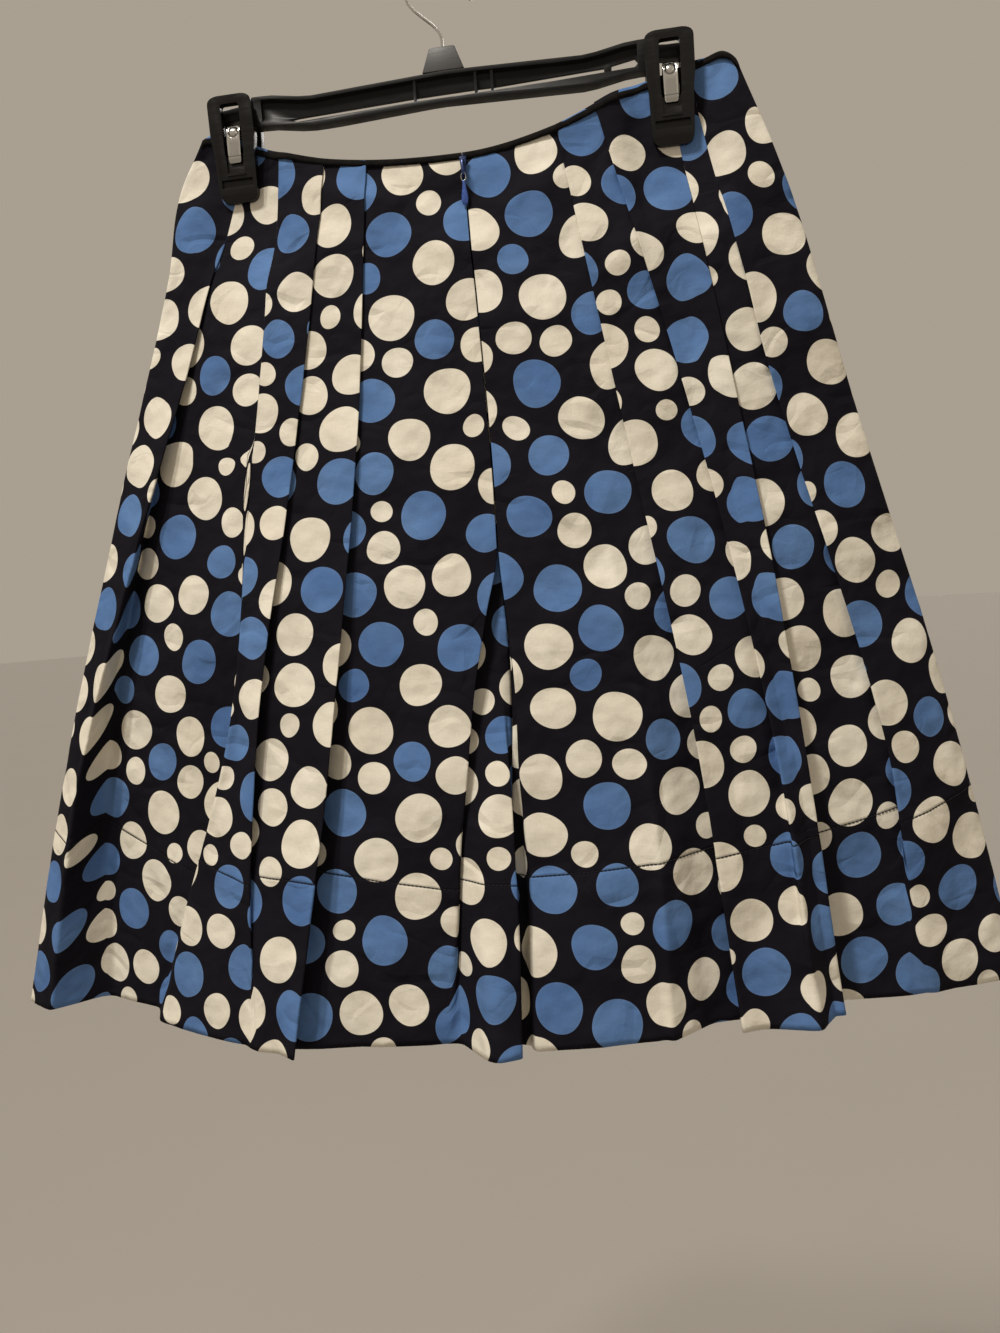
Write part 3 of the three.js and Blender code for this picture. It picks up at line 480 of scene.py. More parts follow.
def cloth_uv(points, where, ends, offset):
    """Flat cloth coordinates in millimetres, at true size on each visible strip."""
    rows, n = points.shape[:2]
    steps = np.linalg.norm(np.diff(points, axis=1), axis=2)
    s = np.concatenate([np.zeros((rows, 1)), np.cumsum(steps, axis=1)], axis=1)
    breaks = [i for i, end in enumerate(ends) if end]
    starts = [0] + [where[i + 1] for i in breaks]
    stops = [where[i] for i in breaks] + [n - 1]
    uv = np.zeros((rows, n, 2))
    across = offset
    previous = None
    for a, b in zip(starts, stops):
        middle = (s[:, a] + s[:, b]) / 2
        centre = np.array([on_line(points[r], s[r], middle[r]) for r in range(rows)])
        height = run_along(centre[::-1])[::-1]
        up = unit(-np.gradient(centre, axis=0))
        along = unit(points[:, b] - points[:, a])
        lean = np.clip((along * up).sum(axis=1), -MOST_LEAN, MOST_LEAN)
        if previous is not None:
            across += (middle - previous)[-1]
        previous = middle
        local = s[:, a : b + 1] - middle[:, None]
        uv[:, a : b + 1, 0] = across + local * np.sqrt(1 - lean**2)[:, None]
        uv[:, a : b + 1, 1] = height[:, None] + local * lean[:, None]
    for a, b in zip(starts[1:], stops[:-1]):
        gap = np.maximum(s[:, a] - s[:, b], 1e-6)
        for c in range(b + 1, a):
            t = ((s[:, c] - s[:, b]) / gap)[:, None]
            uv[:, c] = mix(uv[:, b], uv[:, a], t)
    return uv


def outward(points, side):
    """Unit normals of a grid of points, away from the inside of the skirt."""
    return -side * unit(np.cross(np.gradient(points, axis=0), np.gradient(points, axis=1)))


def from_seams(along, ends):
    """How far each column is from the side seams that the panel ends in."""
    left = along if "left" in ends else FREE
    right = along[-1] - along if "right" in ends else FREE
    return np.minimum(left, right)


def cornered(points, ends):
    """Rounds the waist's corners at the side seams."""
    near = np.clip(1 - from_seams(run_along(points[0]), ends) / CORNER_RUN, 0, 1)
    dip = CORNER_DROP * (1 - np.sqrt(1 - near**2))
    below = points[0, :, 2][None, :] - points[:, :, 2]
    lowered = points.copy()
    lowered[:, :, 2] -= dip[None, :] * (1 - smooth(below / CORNER_FADE))
    return lowered


def away_from_middle(side, x, z):
    """Which way the cloth moves out, the same for every layer of a pleat."""
    left, right = side_at("left", z), side_at("right", z)
    across = 2 * np.clip((x - left) / (right - left), 0, 1) - 1
    sideways = OUT_SIDEWAYS * across**OUT_ROUND
    return unit(np.stack([sideways, side + 0 * x, 0 * x], axis=2))


def hem_height(cloth, x):
    """How high above the hem its stitching is, in metres, as is x."""
    return cloth.hem_depth + cloth.hem_rise * x**2


def creased(points, side, creases, seed, ends):
    """Moves the cloth in and out for its creases and a soft unevenness."""
    x, z = points[:, :, 0], points[:, :, 2]
    lift = np.zeros(x.shape)
    for crease in table(creases, CREASE_COLUMNS):
        ax, az = crease["x1"] - crease["x0"], crease["z1"] - crease["z0"]
        length = math.hypot(ax, az)
        px, pz = x - crease["x0"], z - crease["z0"]
        t = (px * ax + pz * az) / length**2
        off = (px * az - pz * ax) / length
        bow = CREASE_BOW * length * np.clip(t * (1 - t), 0, 1)
        profile = np.exp(-(((off - bow) / crease["width"]) ** 2))
        ends_fade = smooth(t / CREASE_FADE) * smooth((1 - t) / CREASE_FADE)
        lift += crease["height"] * profile * ends_fade
    drop = np.clip((TOP_Z - z) / (TOP_Z - HEM_Z), 0, 1)
    for wide, tall, height in UNEVEN:
        for r in range(x.shape[0]):
            for c in range(x.shape[1]):
                place = Vector((x[r, c] / wide, seed + wide, z[r, c] / tall))
                lift[r, c] += height * (UNEVEN_TOP + drop[r, c]) * noise.noise(place)
    stitch_z = HEM_Z + hem_height(bpy.context.scene.skirt_cloth, x * MM) / MM
    stitch = np.exp(-(((stitch_z - z) / PUCKER_WIDTH) ** 2))
    lift += PUCKER * stitch * (np.sin(x / PUCKER_LENGTH + lift) - PUCKER_IN)
    held = np.maximum(pinch(x, z), 1 - smooth((waist_edge(side, x) - z) / HELD_DROP))
    lift *= 1 - held
    lift *= smooth(from_seams(np.arange(x.shape[1]), ends) / HELD_COLUMNS)[None, :]
    return points + away_from_middle(side, x, z) * lift[:, :, None]


PANELS = {
    "back_left": {
        "side": NEAR, "path": back_left_path, "creases": NEAR_CREASES,
        "ends": ("left",), "cloth_start": 40.0, "flat": (0.62, 0.74), "area": 0.34,
    },
    "back_right": {
        "side": NEAR, "path": back_right_path, "creases": NEAR_CREASES,
        "ends": ("right",), "cloth_start": 905.0, "flat": (0.58, 0.74), "area": 0.3,
    },
    "front": {
        "side": FAR, "path": front_path, "creases": FAR_CREASES,
        "ends": ("left", "right"), "cloth_start": 1700.0, "flat": (1.02, 0.74),
        "area": 0.56,
    },
}
UNEVEN_SEEDS = {NEAR: -5.0, FAR: 13.0}


def panel_grid(name):
    """The middle surface of a panel: its points and its flat coordinates."""
    spec = PANELS[name]
    side, ends = spec["side"], spec["ends"]
    form, soft, strip_ends = form_rows(side, spec["path"])
    points, where = rounded(form, soft)
    uv = cloth_uv(points, where, strip_ends, spec["cloth_start"])
    points = cornered(points, ends)
    return creased(points, side, spec["creases"], UNEVEN_SEEDS[side], ends), uv


# ---- Meshes

# The spring's bend in y and z, and its half width at a few heights
SPRING_PATH = (
    (-8.0, -124.2), (-9.0, -119.8), (-8.9, -112), (-8.4, -103), (-5.4, -96.6), (0, -94.6),
    (5.4, -96.6), (8.4, -103), (8.9, -112), (9.0, -119.8), (8.0, -124.2),
)
SPRING_WIDTHS = ((-124.2, 3.9), (-122.9, 4.7), (-119, 4.85), (-108, 5.1), (-94, 5.0))
SPRING_BOSS = (-101.6, 3.5, 1.6)  # its height, radius and how far it stands out
SPRING_BEND = (-119.6, 0.7)  # the tab's crease: its height and half width
SPRING_STEPS, SPRING_THICK = (90, 25), 0.6  # steps along and across, and thickness
BOSS_FADE = 3  # from the spring's top to where the boss, crease and rim start
BEND_DEPTH, RIM_RISE, RIM_ROUND = 0.22, 0.35, 9
MOAT_DEPTH, MOAT_AT, MOAT_WIDTH = 0.25, 1.15, 0.2  # round the boss, in shares of its radius
# The zip's teeth: pairs, pitch, first gap, distance from the middle and stagger
TOOTH_PAIRS, TOOTH_PITCH, TOOTH_START, TOOTH_OFF, TOOTH_STAGGER = 3, 0.9, 0.1, 0.75, 0.24
TOOTH_SIZE, TOOTH_Y = (0.8, 0.45, 0.36), -17.2
# Softened solids: points merged and edges left out below these, then the angles that are
# flat, that are bevelled and that stay sharp in the shading
MERGED, SHORTEST = 0.02, 0.1
FLAT_ANGLE, BEVEL_ANGLE, SHADED_ANGLE = (math.radians(a) for a in (2, 38, 32))
PULL_AXIS = Vector((11.844, -21.144, -158.2)) * MM
DROP_FLAT = 0.42  # the drop's depth over its width
RING_RADIUS, WIRE_RADIUS = 1.75, 0.32
RING_STRETCH, RING_MIDDLE = 1.6, -2.8  # a long loop, so it swings clear of the bridge
# Radius and height along the pull's drop
DROP_PROFILE = (
    (0, -4.9), (0.7, -5.1), (1.0, -5.8), (1.0, -7.2), (1.25, -9.4), (1.85, -12.8),
    (2.35, -16.5), (2.45, -18.6), (2.1, -20.8), (1.3, -22.1), (0, -22.5),
)


def finish_mesh(name, bm, material):
    mesh = bpy.data.meshes.new(name)
    bm.to_mesh(mesh)
    bm.free()
    for polygon in mesh.polygons:
        polygon.use_smooth = True
    mesh.materials.append(material)
    piece = bpy.data.objects.new(name, mesh)
    bpy.context.scene.collection.objects.link(piece)
    return piece


def grid_piece(name, points, material, uv=None, flip=False):
    """A sheet over a grid of points in millimetres."""
    rows, columns = points.shape[:2]
    bm = bmesh.new()
    layer = bm.loops.layers.uv.new("cloth")
    bmesh.ops.create_grid(bm, x_segments=columns - 1, y_segments=rows - 1, size=1)
    places = {}
    for vert in bm.verts:
        c = round((vert.co.x + 1) / 2 * (columns - 1))
        r = round((1 - vert.co.y) / 2 * (rows - 1))
        places[vert] = (r, c)
        vert.co = Vector(points[r, c]) * MM
    if uv is not None:
        for face in bm.faces:
            for loop in face.loops:
                loop[layer].uv = uv[places[loop.vert]] * MM
    if flip:
        bmesh.ops.reverse_faces(bm, faces=bm.faces)
    return finish_mesh(name, bm, material)


def thickened(piece, name, thickness):
    """Gives a sheet its thickness, half to each side."""
    shell = piece.modifiers.new(name, "SOLIDIFY")
    shell.thickness = thickness
    shell.offset = 0.0
    return shell


def bead(bm, place, size, turn=Matrix()):
    """A small bead at a place, with its three half sizes in millimetres."""
    size = Matrix.Diagonal((*(v * MM for v in size), 1))
    matrix = Matrix.Translation(place) @ turn @ size
    bmesh.ops.create_icosphere(bm, subdivisions=1, radius=1, matrix=matrix)


def waist_binding(name, panel, points, material):
    """Tape folded over the top edge: down the outside, over the top and down inside."""
    side = PANELS[panel]["side"]
    x = np.linspace(points[0, 0, 0], points[0, -1, 0], BINDING_STEPS)
    z = waist_edge(side, x)
    edge = np.stack([x, depth_at(side, x, z, 0.0), z], axis=1)
    below = edge - (0, 0, CORNER_FADE)
    top = cornered(np.stack([edge, below]), PANELS[panel]["ends"])[0]
    along = np.gradient(top, axis=0)
    turn = np.sign(-side * along[:, :1])
    out = unit(np.stack([along[:, 1], -along[:, 0], 0 * x], axis=1) * turn)
    places = [Vector((v / RAGGED_LENGTH, 3.0, 0.0)) for v in run_along(top)]
    ragged = np.array([RAGGED * noise.noise(place) for place in places])
    press = mix(1.0, TAPE_PRESSED, pinch(x, z))
    rows = []
    for drop, reach, uneven in BINDING_SECTION:
        row = top + out * (reach * press)[:, None]
        row[:, 2] += ragged * uneven - drop
        rows.append(row)
    piece = grid_piece(name, np.stack(rows), material)
    thickened(piece, "tape", TAPE * MM)
    return piece


def hem_stitches(name, points, normal, uv, cloth, material):
    """A row of short stitches all along the top of the turned hem."""
    line, out = [], []
    for c in range(points.shape[1]):
        up = uv[::-1, c, 1]
        height = 0.0
        for _ in range(3):
            x = on_line(points[::-1, c], up, height)[0] * MM
            height = hem_height(cloth, x) / MM
        line.append(on_line(points[::-1, c], up, height))
        out.append(on_line(normal[::-1, c], up, height))
    line, out = np.array(line), np.array(out)
    run = run_along(line)
    pitch, length = STITCH
    bm = bmesh.new()
    for start in np.arange(STITCH_START, run[-1] - length, pitch):
        ends = [Vector(on_line(line, run, v)) for v in (start, start + length)]
        face = Vector(on_line(out, run, start)).normalized()
        along = (ends[1] - ends[0]).normalized()
        side = along.cross(face).normalized()
        face = side.cross(along)
        turn = Matrix((along, side, face)).transposed().to_4x4()
        place = ((ends[0] + ends[1]) / 2 + face * STITCH_OUT) * MM
        bead(bm, place, (length * STITCH_SIZE[0], *STITCH_SIZE[1:]), turn)
    return finish_mesh(name, bm, material)


def fit(piece, body, slot, *nodes):
    """Joins a piece to its body, in place of any solids named. Its slot is not used."""
    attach(piece, body)
    if nodes:
        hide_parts(*nodes)


def softened(node, width, material, slot):
    """A copy of a solid whose sharp edges are rounded, in its place."""
    bm = bmesh.new()
    bm.from_mesh(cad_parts[node].data)
    bmesh.ops.remove_doubles(bm, verts=bm.verts, dist=MERGED * MM)
    bmesh.ops.dissolve_limit(
        bm, angle_limit=FLAT_ANGLE, verts=bm.verts, edges=bm.edges, delimit=set()
    )
    sharp = [
        e for e in bm.edges
        if len(e.link_faces) == 2 and e.calc_face_angle(0) > BEVEL_ANGLE
        and e.calc_length() > SHORTEST * MM
    ]
    bmesh.ops.bevel(
        bm, geom=sharp, offset=width * MM, offset_type="OFFSET", segments=3, profile=0.5,
        affect="EDGES", clamp_overlap=True, material=-1,
    )
    piece = finish_mesh(node + "_softened", bm, material)
    piece.data.set_sharp_from_angle(angle=SHADED_ANGLE)
    fit(piece, ROOT, slot, node)


def clip_spring(name, x, material):
    """The bent steel strip that shuts a clip, with its round boss and turned edges."""
    path = through_points(SPRING_PATH, SPRING_STEPS[0])
    widths = through(*zip(*SPRING_WIDTHS), path[:, 1])
    boss_z, boss_radius, boss_rise = SPRING_BOSS
    bend_z, bend_half = SPRING_BEND
    rows = []
    for (y, z), half in zip(path, widths):
        front = math.copysign(1, y) * smooth((abs(y) - BOSS_FADE) / BOSS_FADE)
        crease = -BEND_DEPTH * math.exp(-(((z - bend_z) / bend_half) ** 2))
        row = []
        for u in np.linspace(-1, 1, SPRING_STEPS[1]):
            away = math.hypot(u * half, z - boss_z) / boss_radius
            boss = boss_rise * math.sqrt(max(1 - away**2, 0))
            moat = MOAT_DEPTH * math.exp(-(((away - MOAT_AT) / MOAT_WIDTH) ** 2))
            rise = boss - moat + RIM_RISE * abs(u) ** RIM_ROUND + crease
            row.append((x + u * half, y + front * rise, z))
        rows.append(row)
    piece = grid_piece(name, np.array(rows), material)
    thickened(piece, "strip", SPRING_THICK * MM)
    return piece


def through_points(points, count):
    """Evenly spaced places on a smooth line through a few points."""
    points = np.array(points, float)
    run = run_along(points)
    at = np.linspace(0, run[-1], count)
    return np.stack([through(run, column, at) for column in points.T], axis=1)


def zip_teeth(name, material):
    """The closed coil between the slider and the waist."""
    low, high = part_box("zip_slider")
    middle = (low.x + high.x) / 2
    bm = bmesh.new()
    for i in range(TOOTH_PAIRS):
        z = high.z + (TOOTH_START + TOOTH_PITCH * i) * MM
        for side in (-MM, MM):
            place = middle + side * TOOTH_OFF, TOOTH_Y * MM, z + side * TOOTH_STAGGER
            bead(bm, place, TOOTH_SIZE)
    return finish_mesh(name, bm, material)


def spun(name, bm, geom, material, tilt, stretch, rise):
    """Spins a line round the pull's middle, then tilts, stretches and hangs it."""
    bmesh.ops.spin(
        bm, geom=geom, cent=(0, 0, 0), axis=(0, 0, 1), angle=math.tau, steps=28,
        use_merge=True,
    )
    bmesh.ops.remove_doubles(bm, verts=bm.verts, dist=1e-6)
    bmesh.ops.rotate(bm, verts=bm.verts, matrix=Matrix.Rotation(tilt, 3, "X"))
    bmesh.ops.scale(bm, verts=bm.verts, vec=stretch)
    bmesh.ops.translate(bm, verts=bm.verts, vec=PULL_AXIS + Vector((0, -0.1, rise)) * MM)
    bmesh.ops.recalc_face_normals(bm, faces=bm.faces)
    return finish_mesh(name, bm, material)


def pull_drop(name, material):
    """The pull's flat drop, hanging from its ring."""
    bm = bmesh.new()
    profile = [bm.verts.new((r * MM, 0, z * MM)) for r, z in DROP_PROFILE]
    edges = [bm.edges.new(pair) for pair in zip(profile, profile[1:])]
    return spun(name, bm, profile + edges, material, 0, (1, DROP_FLAT, 1), 0)


def pull_ring(name, material):
    """The wire loop that joins the slider's bridge and the drop."""
    bm = bmesh.new()
    upright = Matrix.Rotation(math.pi / 2, 4, "X")
    start = Matrix.Translation((RING_RADIUS * MM, 0, 0)) @ upright
    made = bmesh.ops.create_circle(bm, segments=12, radius=WIRE_RADIUS * MM, matrix=start)
    geom = made["verts"] + list(bm.edges)
    return spun(name, bm, geom, material, math.pi / 2, (1, 1, RING_STRETCH), RING_MIDDLE)


# ---- Materials

# Millimetres on the flat cloth
DOT_RADII = (8.0, 9.0, 10.0, 10.5, 11.0, 11.5, 12.0, 12.5, 13.5, 14.5, 16.5)
DOTS_TRIED, DOT_TRIES = 190, 500
DOT_PASSES, DOT_GROWTH = 3, 1.06  # how the dots then grow into the gaps
BLUE_APART, BLUE_MIXED, BORDER = 7.0, 6, 6  # BORDER is how far outside dots are copied

SOCKETS = {
    "metallic": "Metallic", "specular": "Specular IOR Level", "sheen": "Sheen Weight",
}

# The noises of the plain materials: scale, or scale each way, and detail
NOISES = {
    "patches": (60.0, 3.0), "grain": (1400.0, 2.0), "scuffs": ((60.0, 60.0, 420.0), 4.0),
    "bloom": (220.0, 3.0), "brushing": ((2400.0, 500.0, 300.0), 3.0),
    "speckle": (500.0, 3.0), "twist": ((1800.0, 1800.0, 700.0), 2.0),
    "rib": ((900.0, 900.0, 260.0), 3.0), "fuzz": (160.0, 4.0), "clouds": (2.0, 4.0),
}

WOBBLE = 0.005  # how far the dots' edges wander, in metres
# Scales of the threads each way, then of the creases with their width and their patches
THREADS = (1900.0, 120.0, 1.0), (120.0, 1900.0, 1.0)
SOFT_CREASES = ((16.0, 9.0, 1.0), 0.075, 23.0), ((9.0, 20.0, 1.0), 0.06, 31.0)
DOT_SOFT, DOT_RIM = 0.00012, (-0.0009, -0.0002)  # metres out from a dot's edge
HEM_SOFT, HEM_GROOVE = 0.0005, (0.0003, 0.0016)  # metres from the hem's stitching
LAYER_FADE, FADED_INSIDE = 0.006, 0.42
SHADE_RING_AT, REFLECTION_GREY = 1.12, 0.16  # where the boss's ring of painted shade lies, in its radius, and how grey the painted reflections make the steel



class Nodes:
    """A short way to add and link shader nodes in one material."""

    def __init__(self, name):
        self.material = bpy.data.materials.new(name)
        self.material.use_nodes = True
        self.tree = self.material.node_tree
        self.shader = self.tree.nodes["Principled BSDF"]

    def add(self, kind, *inputs, named=None, **settings):
        node = self.tree.nodes.new("ShaderNode" + kind)
        for key, value in settings.items():
            setattr(node, key, value)
        for key, value in (*enumerate(inputs), *(named or {}).items()):
            self.put(node.inputs[key], value)
        return node

    def put(self, socket, value):
        if isinstance(value, bpy.types.Node):
            value = value.outputs[0]
        if isinstance(value, bpy.types.NodeSocket):
            self.tree.links.new(value, socket)
        elif value is not None:
            socket.default_value = value

    def math(self, operation, *inputs):
        return self.add("Math", *inputs, operation=operation)

    def away(self, value, middle):
        return self.math("ABSOLUTE", self.math("SUBTRACT", value, middle))

    def vector(self, operation, *inputs, **settings):
        return self.add("VectorMath", *inputs, operation=operation, **settings)

    def object_place(self):
        return self.add("TexCoord").outputs["Object"]

    def noise(self, place, scale, detail=3.0, rough=0.5):
        """Noise of one scale, or with a scale each way."""
        if isinstance(scale, tuple):
            place, scale = self.add("Mapping", place, named={"Scale": scale}), 1.0
        sizes = {"Vector": place, "Scale": scale, "Detail": detail, "Roughness": rough}
        return self.add("TexNoise", named=sizes)

    def blend(self, factor, a, b):
        return self.add("Mix", named={0: factor, 6: a, 7: b}, data_type="RGBA").outputs[2]

    def ramp(self, value, low, high, out_low=0.0, out_high=1.0):
        return self.add("MapRange", value, low, high, out_low, out_high, clamp=True)

    def bumps(self, *layers):
        """Bumps over one another, each with its height, strength and distance."""
        bump = None
        for height, strength, distance in layers:
            sizes = {"Strength": strength, "Distance": distance, "Height": height}
            bump = self.add("Bump", named={**sizes, "Normal": bump})
        return bump

    def finish(self, colour, rough, bump=None, **sockets):
        named = {"Base Color": colour, "Roughness": rough, "Normal": bump}
        named.update((SOCKETS[key], value) for key, value in sockets.items())
        for key, value in named.items():
            self.put(self.shader.inputs[key], value)
        return self.material


def rgba(colour):
    return (*colour, 1.0)


def shade(colour, share):
    return [v * share for v in colour]


def round_distance(a, b, repeat):
    """Distance between two places on a cloth that repeats both ways."""
    across, along = abs(a[0] - b[0]), abs(a[1] - b[1])
    return math.hypot(min(across, repeat - across), min(along, repeat - along))


def packed_dots(repeat, gap, seed):
    """Dots of mixed size with even gaps on one repeat, each as x, y and radius."""
    draw = random.Random(seed)
    sizes = [draw.choice(DOT_RADII) for _ in range(DOTS_TRIED)]
    dots = []
    for radius in sorted(sizes, reverse=True):
        for _ in range(DOT_TRIES):
            place = draw.uniform(0, repeat), draw.uniform(0, repeat)
            if all(round_distance(place, d, repeat) > radius + d[2] + gap for d in dots):
                dots.append((*place, radius))
                break
    for _ in range(DOT_PASSES):
        for i, d in enumerate(dots):
            others = [e for e in dots if e is not d]
            room = min(round_distance(d, e, repeat) - e[2] - gap for e in others)
            limit = min(DOT_RADII[-1], d[2] * DOT_GROWTH)
            dots[i] = (d[0], d[1], max(d[2], min(room, limit)))
    return dots


def blue_dots(dots, repeat, share, seed):
    """The dots that are blue: mostly larger ones, and no two side by side."""
    draw = random.Random(seed)
    blue = []
    for d in sorted(dots, key=lambda d: draw.uniform(-BLUE_MIXED, BLUE_MIXED) - d[2]):
        apart = all(round_distance(d, e, repeat) > d[2] + e[2] + BLUE_APART for e in blue)
        if apart and len(blue) < share * len(dots):
            blue.append(d)
    return blue


def with_border_copies(dots, repeat):
    """The dots with a copy across each edge of the repeat that they touch."""
    shifts = (-repeat, 0, repeat)
    copies = [(x + i, y + j, r) for x, y, r in dots for i in shifts for j in shifts]
    inside = lambda v, r: -r - BORDER < v < repeat + r + BORDER
    return [d for d in copies if inside(d[0], d[2]) and inside(d[1], d[2])]


def dot_edge(n, place, dots, repeat):
    """How far a place on the cloth is outside the nearest of some dots."""
    found = None
    for x, y, radius in with_border_copies(dots, repeat / MM):
        away = n.vector("DISTANCE", place, (x * MM, y * MM, 0.0))
        edge = n.math("SUBTRACT", away.outputs["Value"], radius * MM)
        found = n.math("MINIMUM", found, edge) if found else edge
    return found


def soft_creases(n, place):
    """Thin lines of crease, which come and go in patches."""
    creases = None
    for scale, width, patch in SOFT_CREASES:
        line = n.ramp(n.away(n.noise(place, scale, detail=1.0), 0.5), 0.0, width)
        patches = n.ramp(n.noise(place, patch, detail=0.0), 0.5, 0.62, 1.0, 0.0)
        line = n.math("MAXIMUM", line, patches)
        creases = n.math("ADD", creases, line) if creases else line
    return creases


def cotton_material(name, cloth, wrong_side=False):
    """Printed cotton: dots on the flat cloth, a plain weave, small soft creases and painted
    shade along the hem's stitching.
    """
    n = Nodes(name)
    place = n.add("UVMap", uv_map="cloth").outputs["UV"]
    repeat = cloth.repeat
    wobble = n.noise(place, 30.0, detail=0.0)
    centred = n.vector("SUBTRACT", wobble.outputs["Color"], (0.5, 0.5, 0.5))
    moved = n.vector("ADD", place, n.vector("SCALE", centred, named={"Scale": WOBBLE}))
    wrapped = n.vector("WRAP", moved, (repeat, repeat, 1.0), (0.0, 0.0, -1.0))
    dots = packed_dots(repeat / MM, cloth.dot_gap / MM, cloth.seed)
    blue = blue_dots(dots, repeat / MM, cloth.blue_share, cloth.seed)
    cream = [d for d in dots if d not in blue]

    tone = n.noise(place, 14.0, detail=4.0)
    threads = n.math("ADD", *(n.noise(place, scale, detail=2.0) for scale in THREADS))
    black = rgba(cloth.ground_low)

    def woven(low, high):
        base = n.blend(n.ramp(tone, 0.3, 0.7), rgba(low), rgba(high))
        return n.blend(n.ramp(threads, 0.8, 1.35, 0.0, cloth.weave), base, black)

    colour = woven(cloth.ground_low, cloth.ground_high)
    for kind, low, high, rim in (
        (cream, cloth.cream_low, cloth.cream_high, 0.0),
        (blue, cloth.blue_low, cloth.blue_high, cloth.rim),
    ):
        edge = dot_edge(n, wrapped, kind, repeat)
        inside = n.ramp(edge, DOT_SOFT, -DOT_SOFT)
        ring = n.ramp(edge, *DOT_RIM, 0.0, rim)
        dot = n.blend(ring, woven(low, high), rgba(cloth.cream_low))
        colour = n.blend(inside, colour, dot)
    height = n.add("SeparateXYZ", place).outputs["Y"]
    across = n.add("SeparateXYZ", n.object_place()).outputs["X"]
    climb = n.math("MULTIPLY", n.math("MULTIPLY", across, across), cloth.hem_rise)
    from_hem = n.math("SUBTRACT", n.math("SUBTRACT", height, climb), cloth.hem_depth)
    if wrong_side:
        above = n.ramp(from_hem, -HEM_SOFT, HEM_SOFT, 0.0, FADED_INSIDE)
        colour = n.blend(above, colour, rgba(cloth.wrong_side))
    groove = n.ramp(n.math("ABSOLUTE", from_hem), *HEM_GROOVE)
    # Painted shade: the cloth is darkened towards black in the groove along the hem's
    # stitching.
    colour = n.blend(n.ramp(groove, 0.0, 0.5, 0.72, 0.0), colour, black)
    bump = n.bumps(
        (n.noise(place, 13.0), 0.9, 0.015), (soft_creases(n, place), 0.75, 0.0011),
        (n.noise(place, 75.0, rough=0.6), 0.5, 0.0013), (threads, 0.2, 0.0003),
        (groove, 0.4, 0.0008),
    )
    return n.finish(colour, n.ramp(tone, 0.2, 0.8, 0.76, 0.88), bump, specular=0.06)


def mixed_material(name, low, high, tones, rough, bumps=(), **sockets):
    """Two colours and a gloss, mixed by fine noises that also make the bumps.

    tones is a noise and its values at the low and the high colour. rough is one value, or
    a noise with its least and its most. Each bump is a noise, a strength and a distance.
    """
    n = Nodes(name)
    place = n.object_place()
    uneven = [rough] if isinstance(rough, tuple) else []
    used = sorted({kind for kind, *_ in (tones, *uneven, *bumps)})
    made = {kind: n.noise(place, *NOISES[kind]) for kind in used}
    colour = n.blend(n.ramp(made[tones[0]], *tones[1:]), rgba(low), rgba(high))
    for kind, least, most in uneven:
        rough = n.ramp(made[kind], 0.3, 0.7, least, most)
    bump = n.bumps(*((made[kind], *sizes) for kind, *sizes in bumps))
    return n.finish(colour, rough, bump, **sockets)


def plastic_material(name, low, high, rough, specular=0.36):
    return mixed_material(
        name, low, high, ("patches", 0.3, 0.7), ("scuffs", rough - 0.08, rough + 0.1),
        (("grain", 0.12, 0.0003), ("patches", 0.1, 0.001)), specular=specular,
    )


def steel_material(name, colour, rough):
    return mixed_material(
        name, shade(colour, 0.85), colour, ("bloom", 0.35, 0.7),
        ("brushing", rough * 0.6, rough * 1.5), (("brushing", 0.12, 0.0002),), metallic=1.0,
    )


def enamel_material(name, low, high):
    return mixed_material(
        name, low, high, ("speckle", 0.35, 0.75), ("speckle", 0.22, 0.4),
        (("speckle", 0.08, 0.0003),), metallic=0.35,
    )


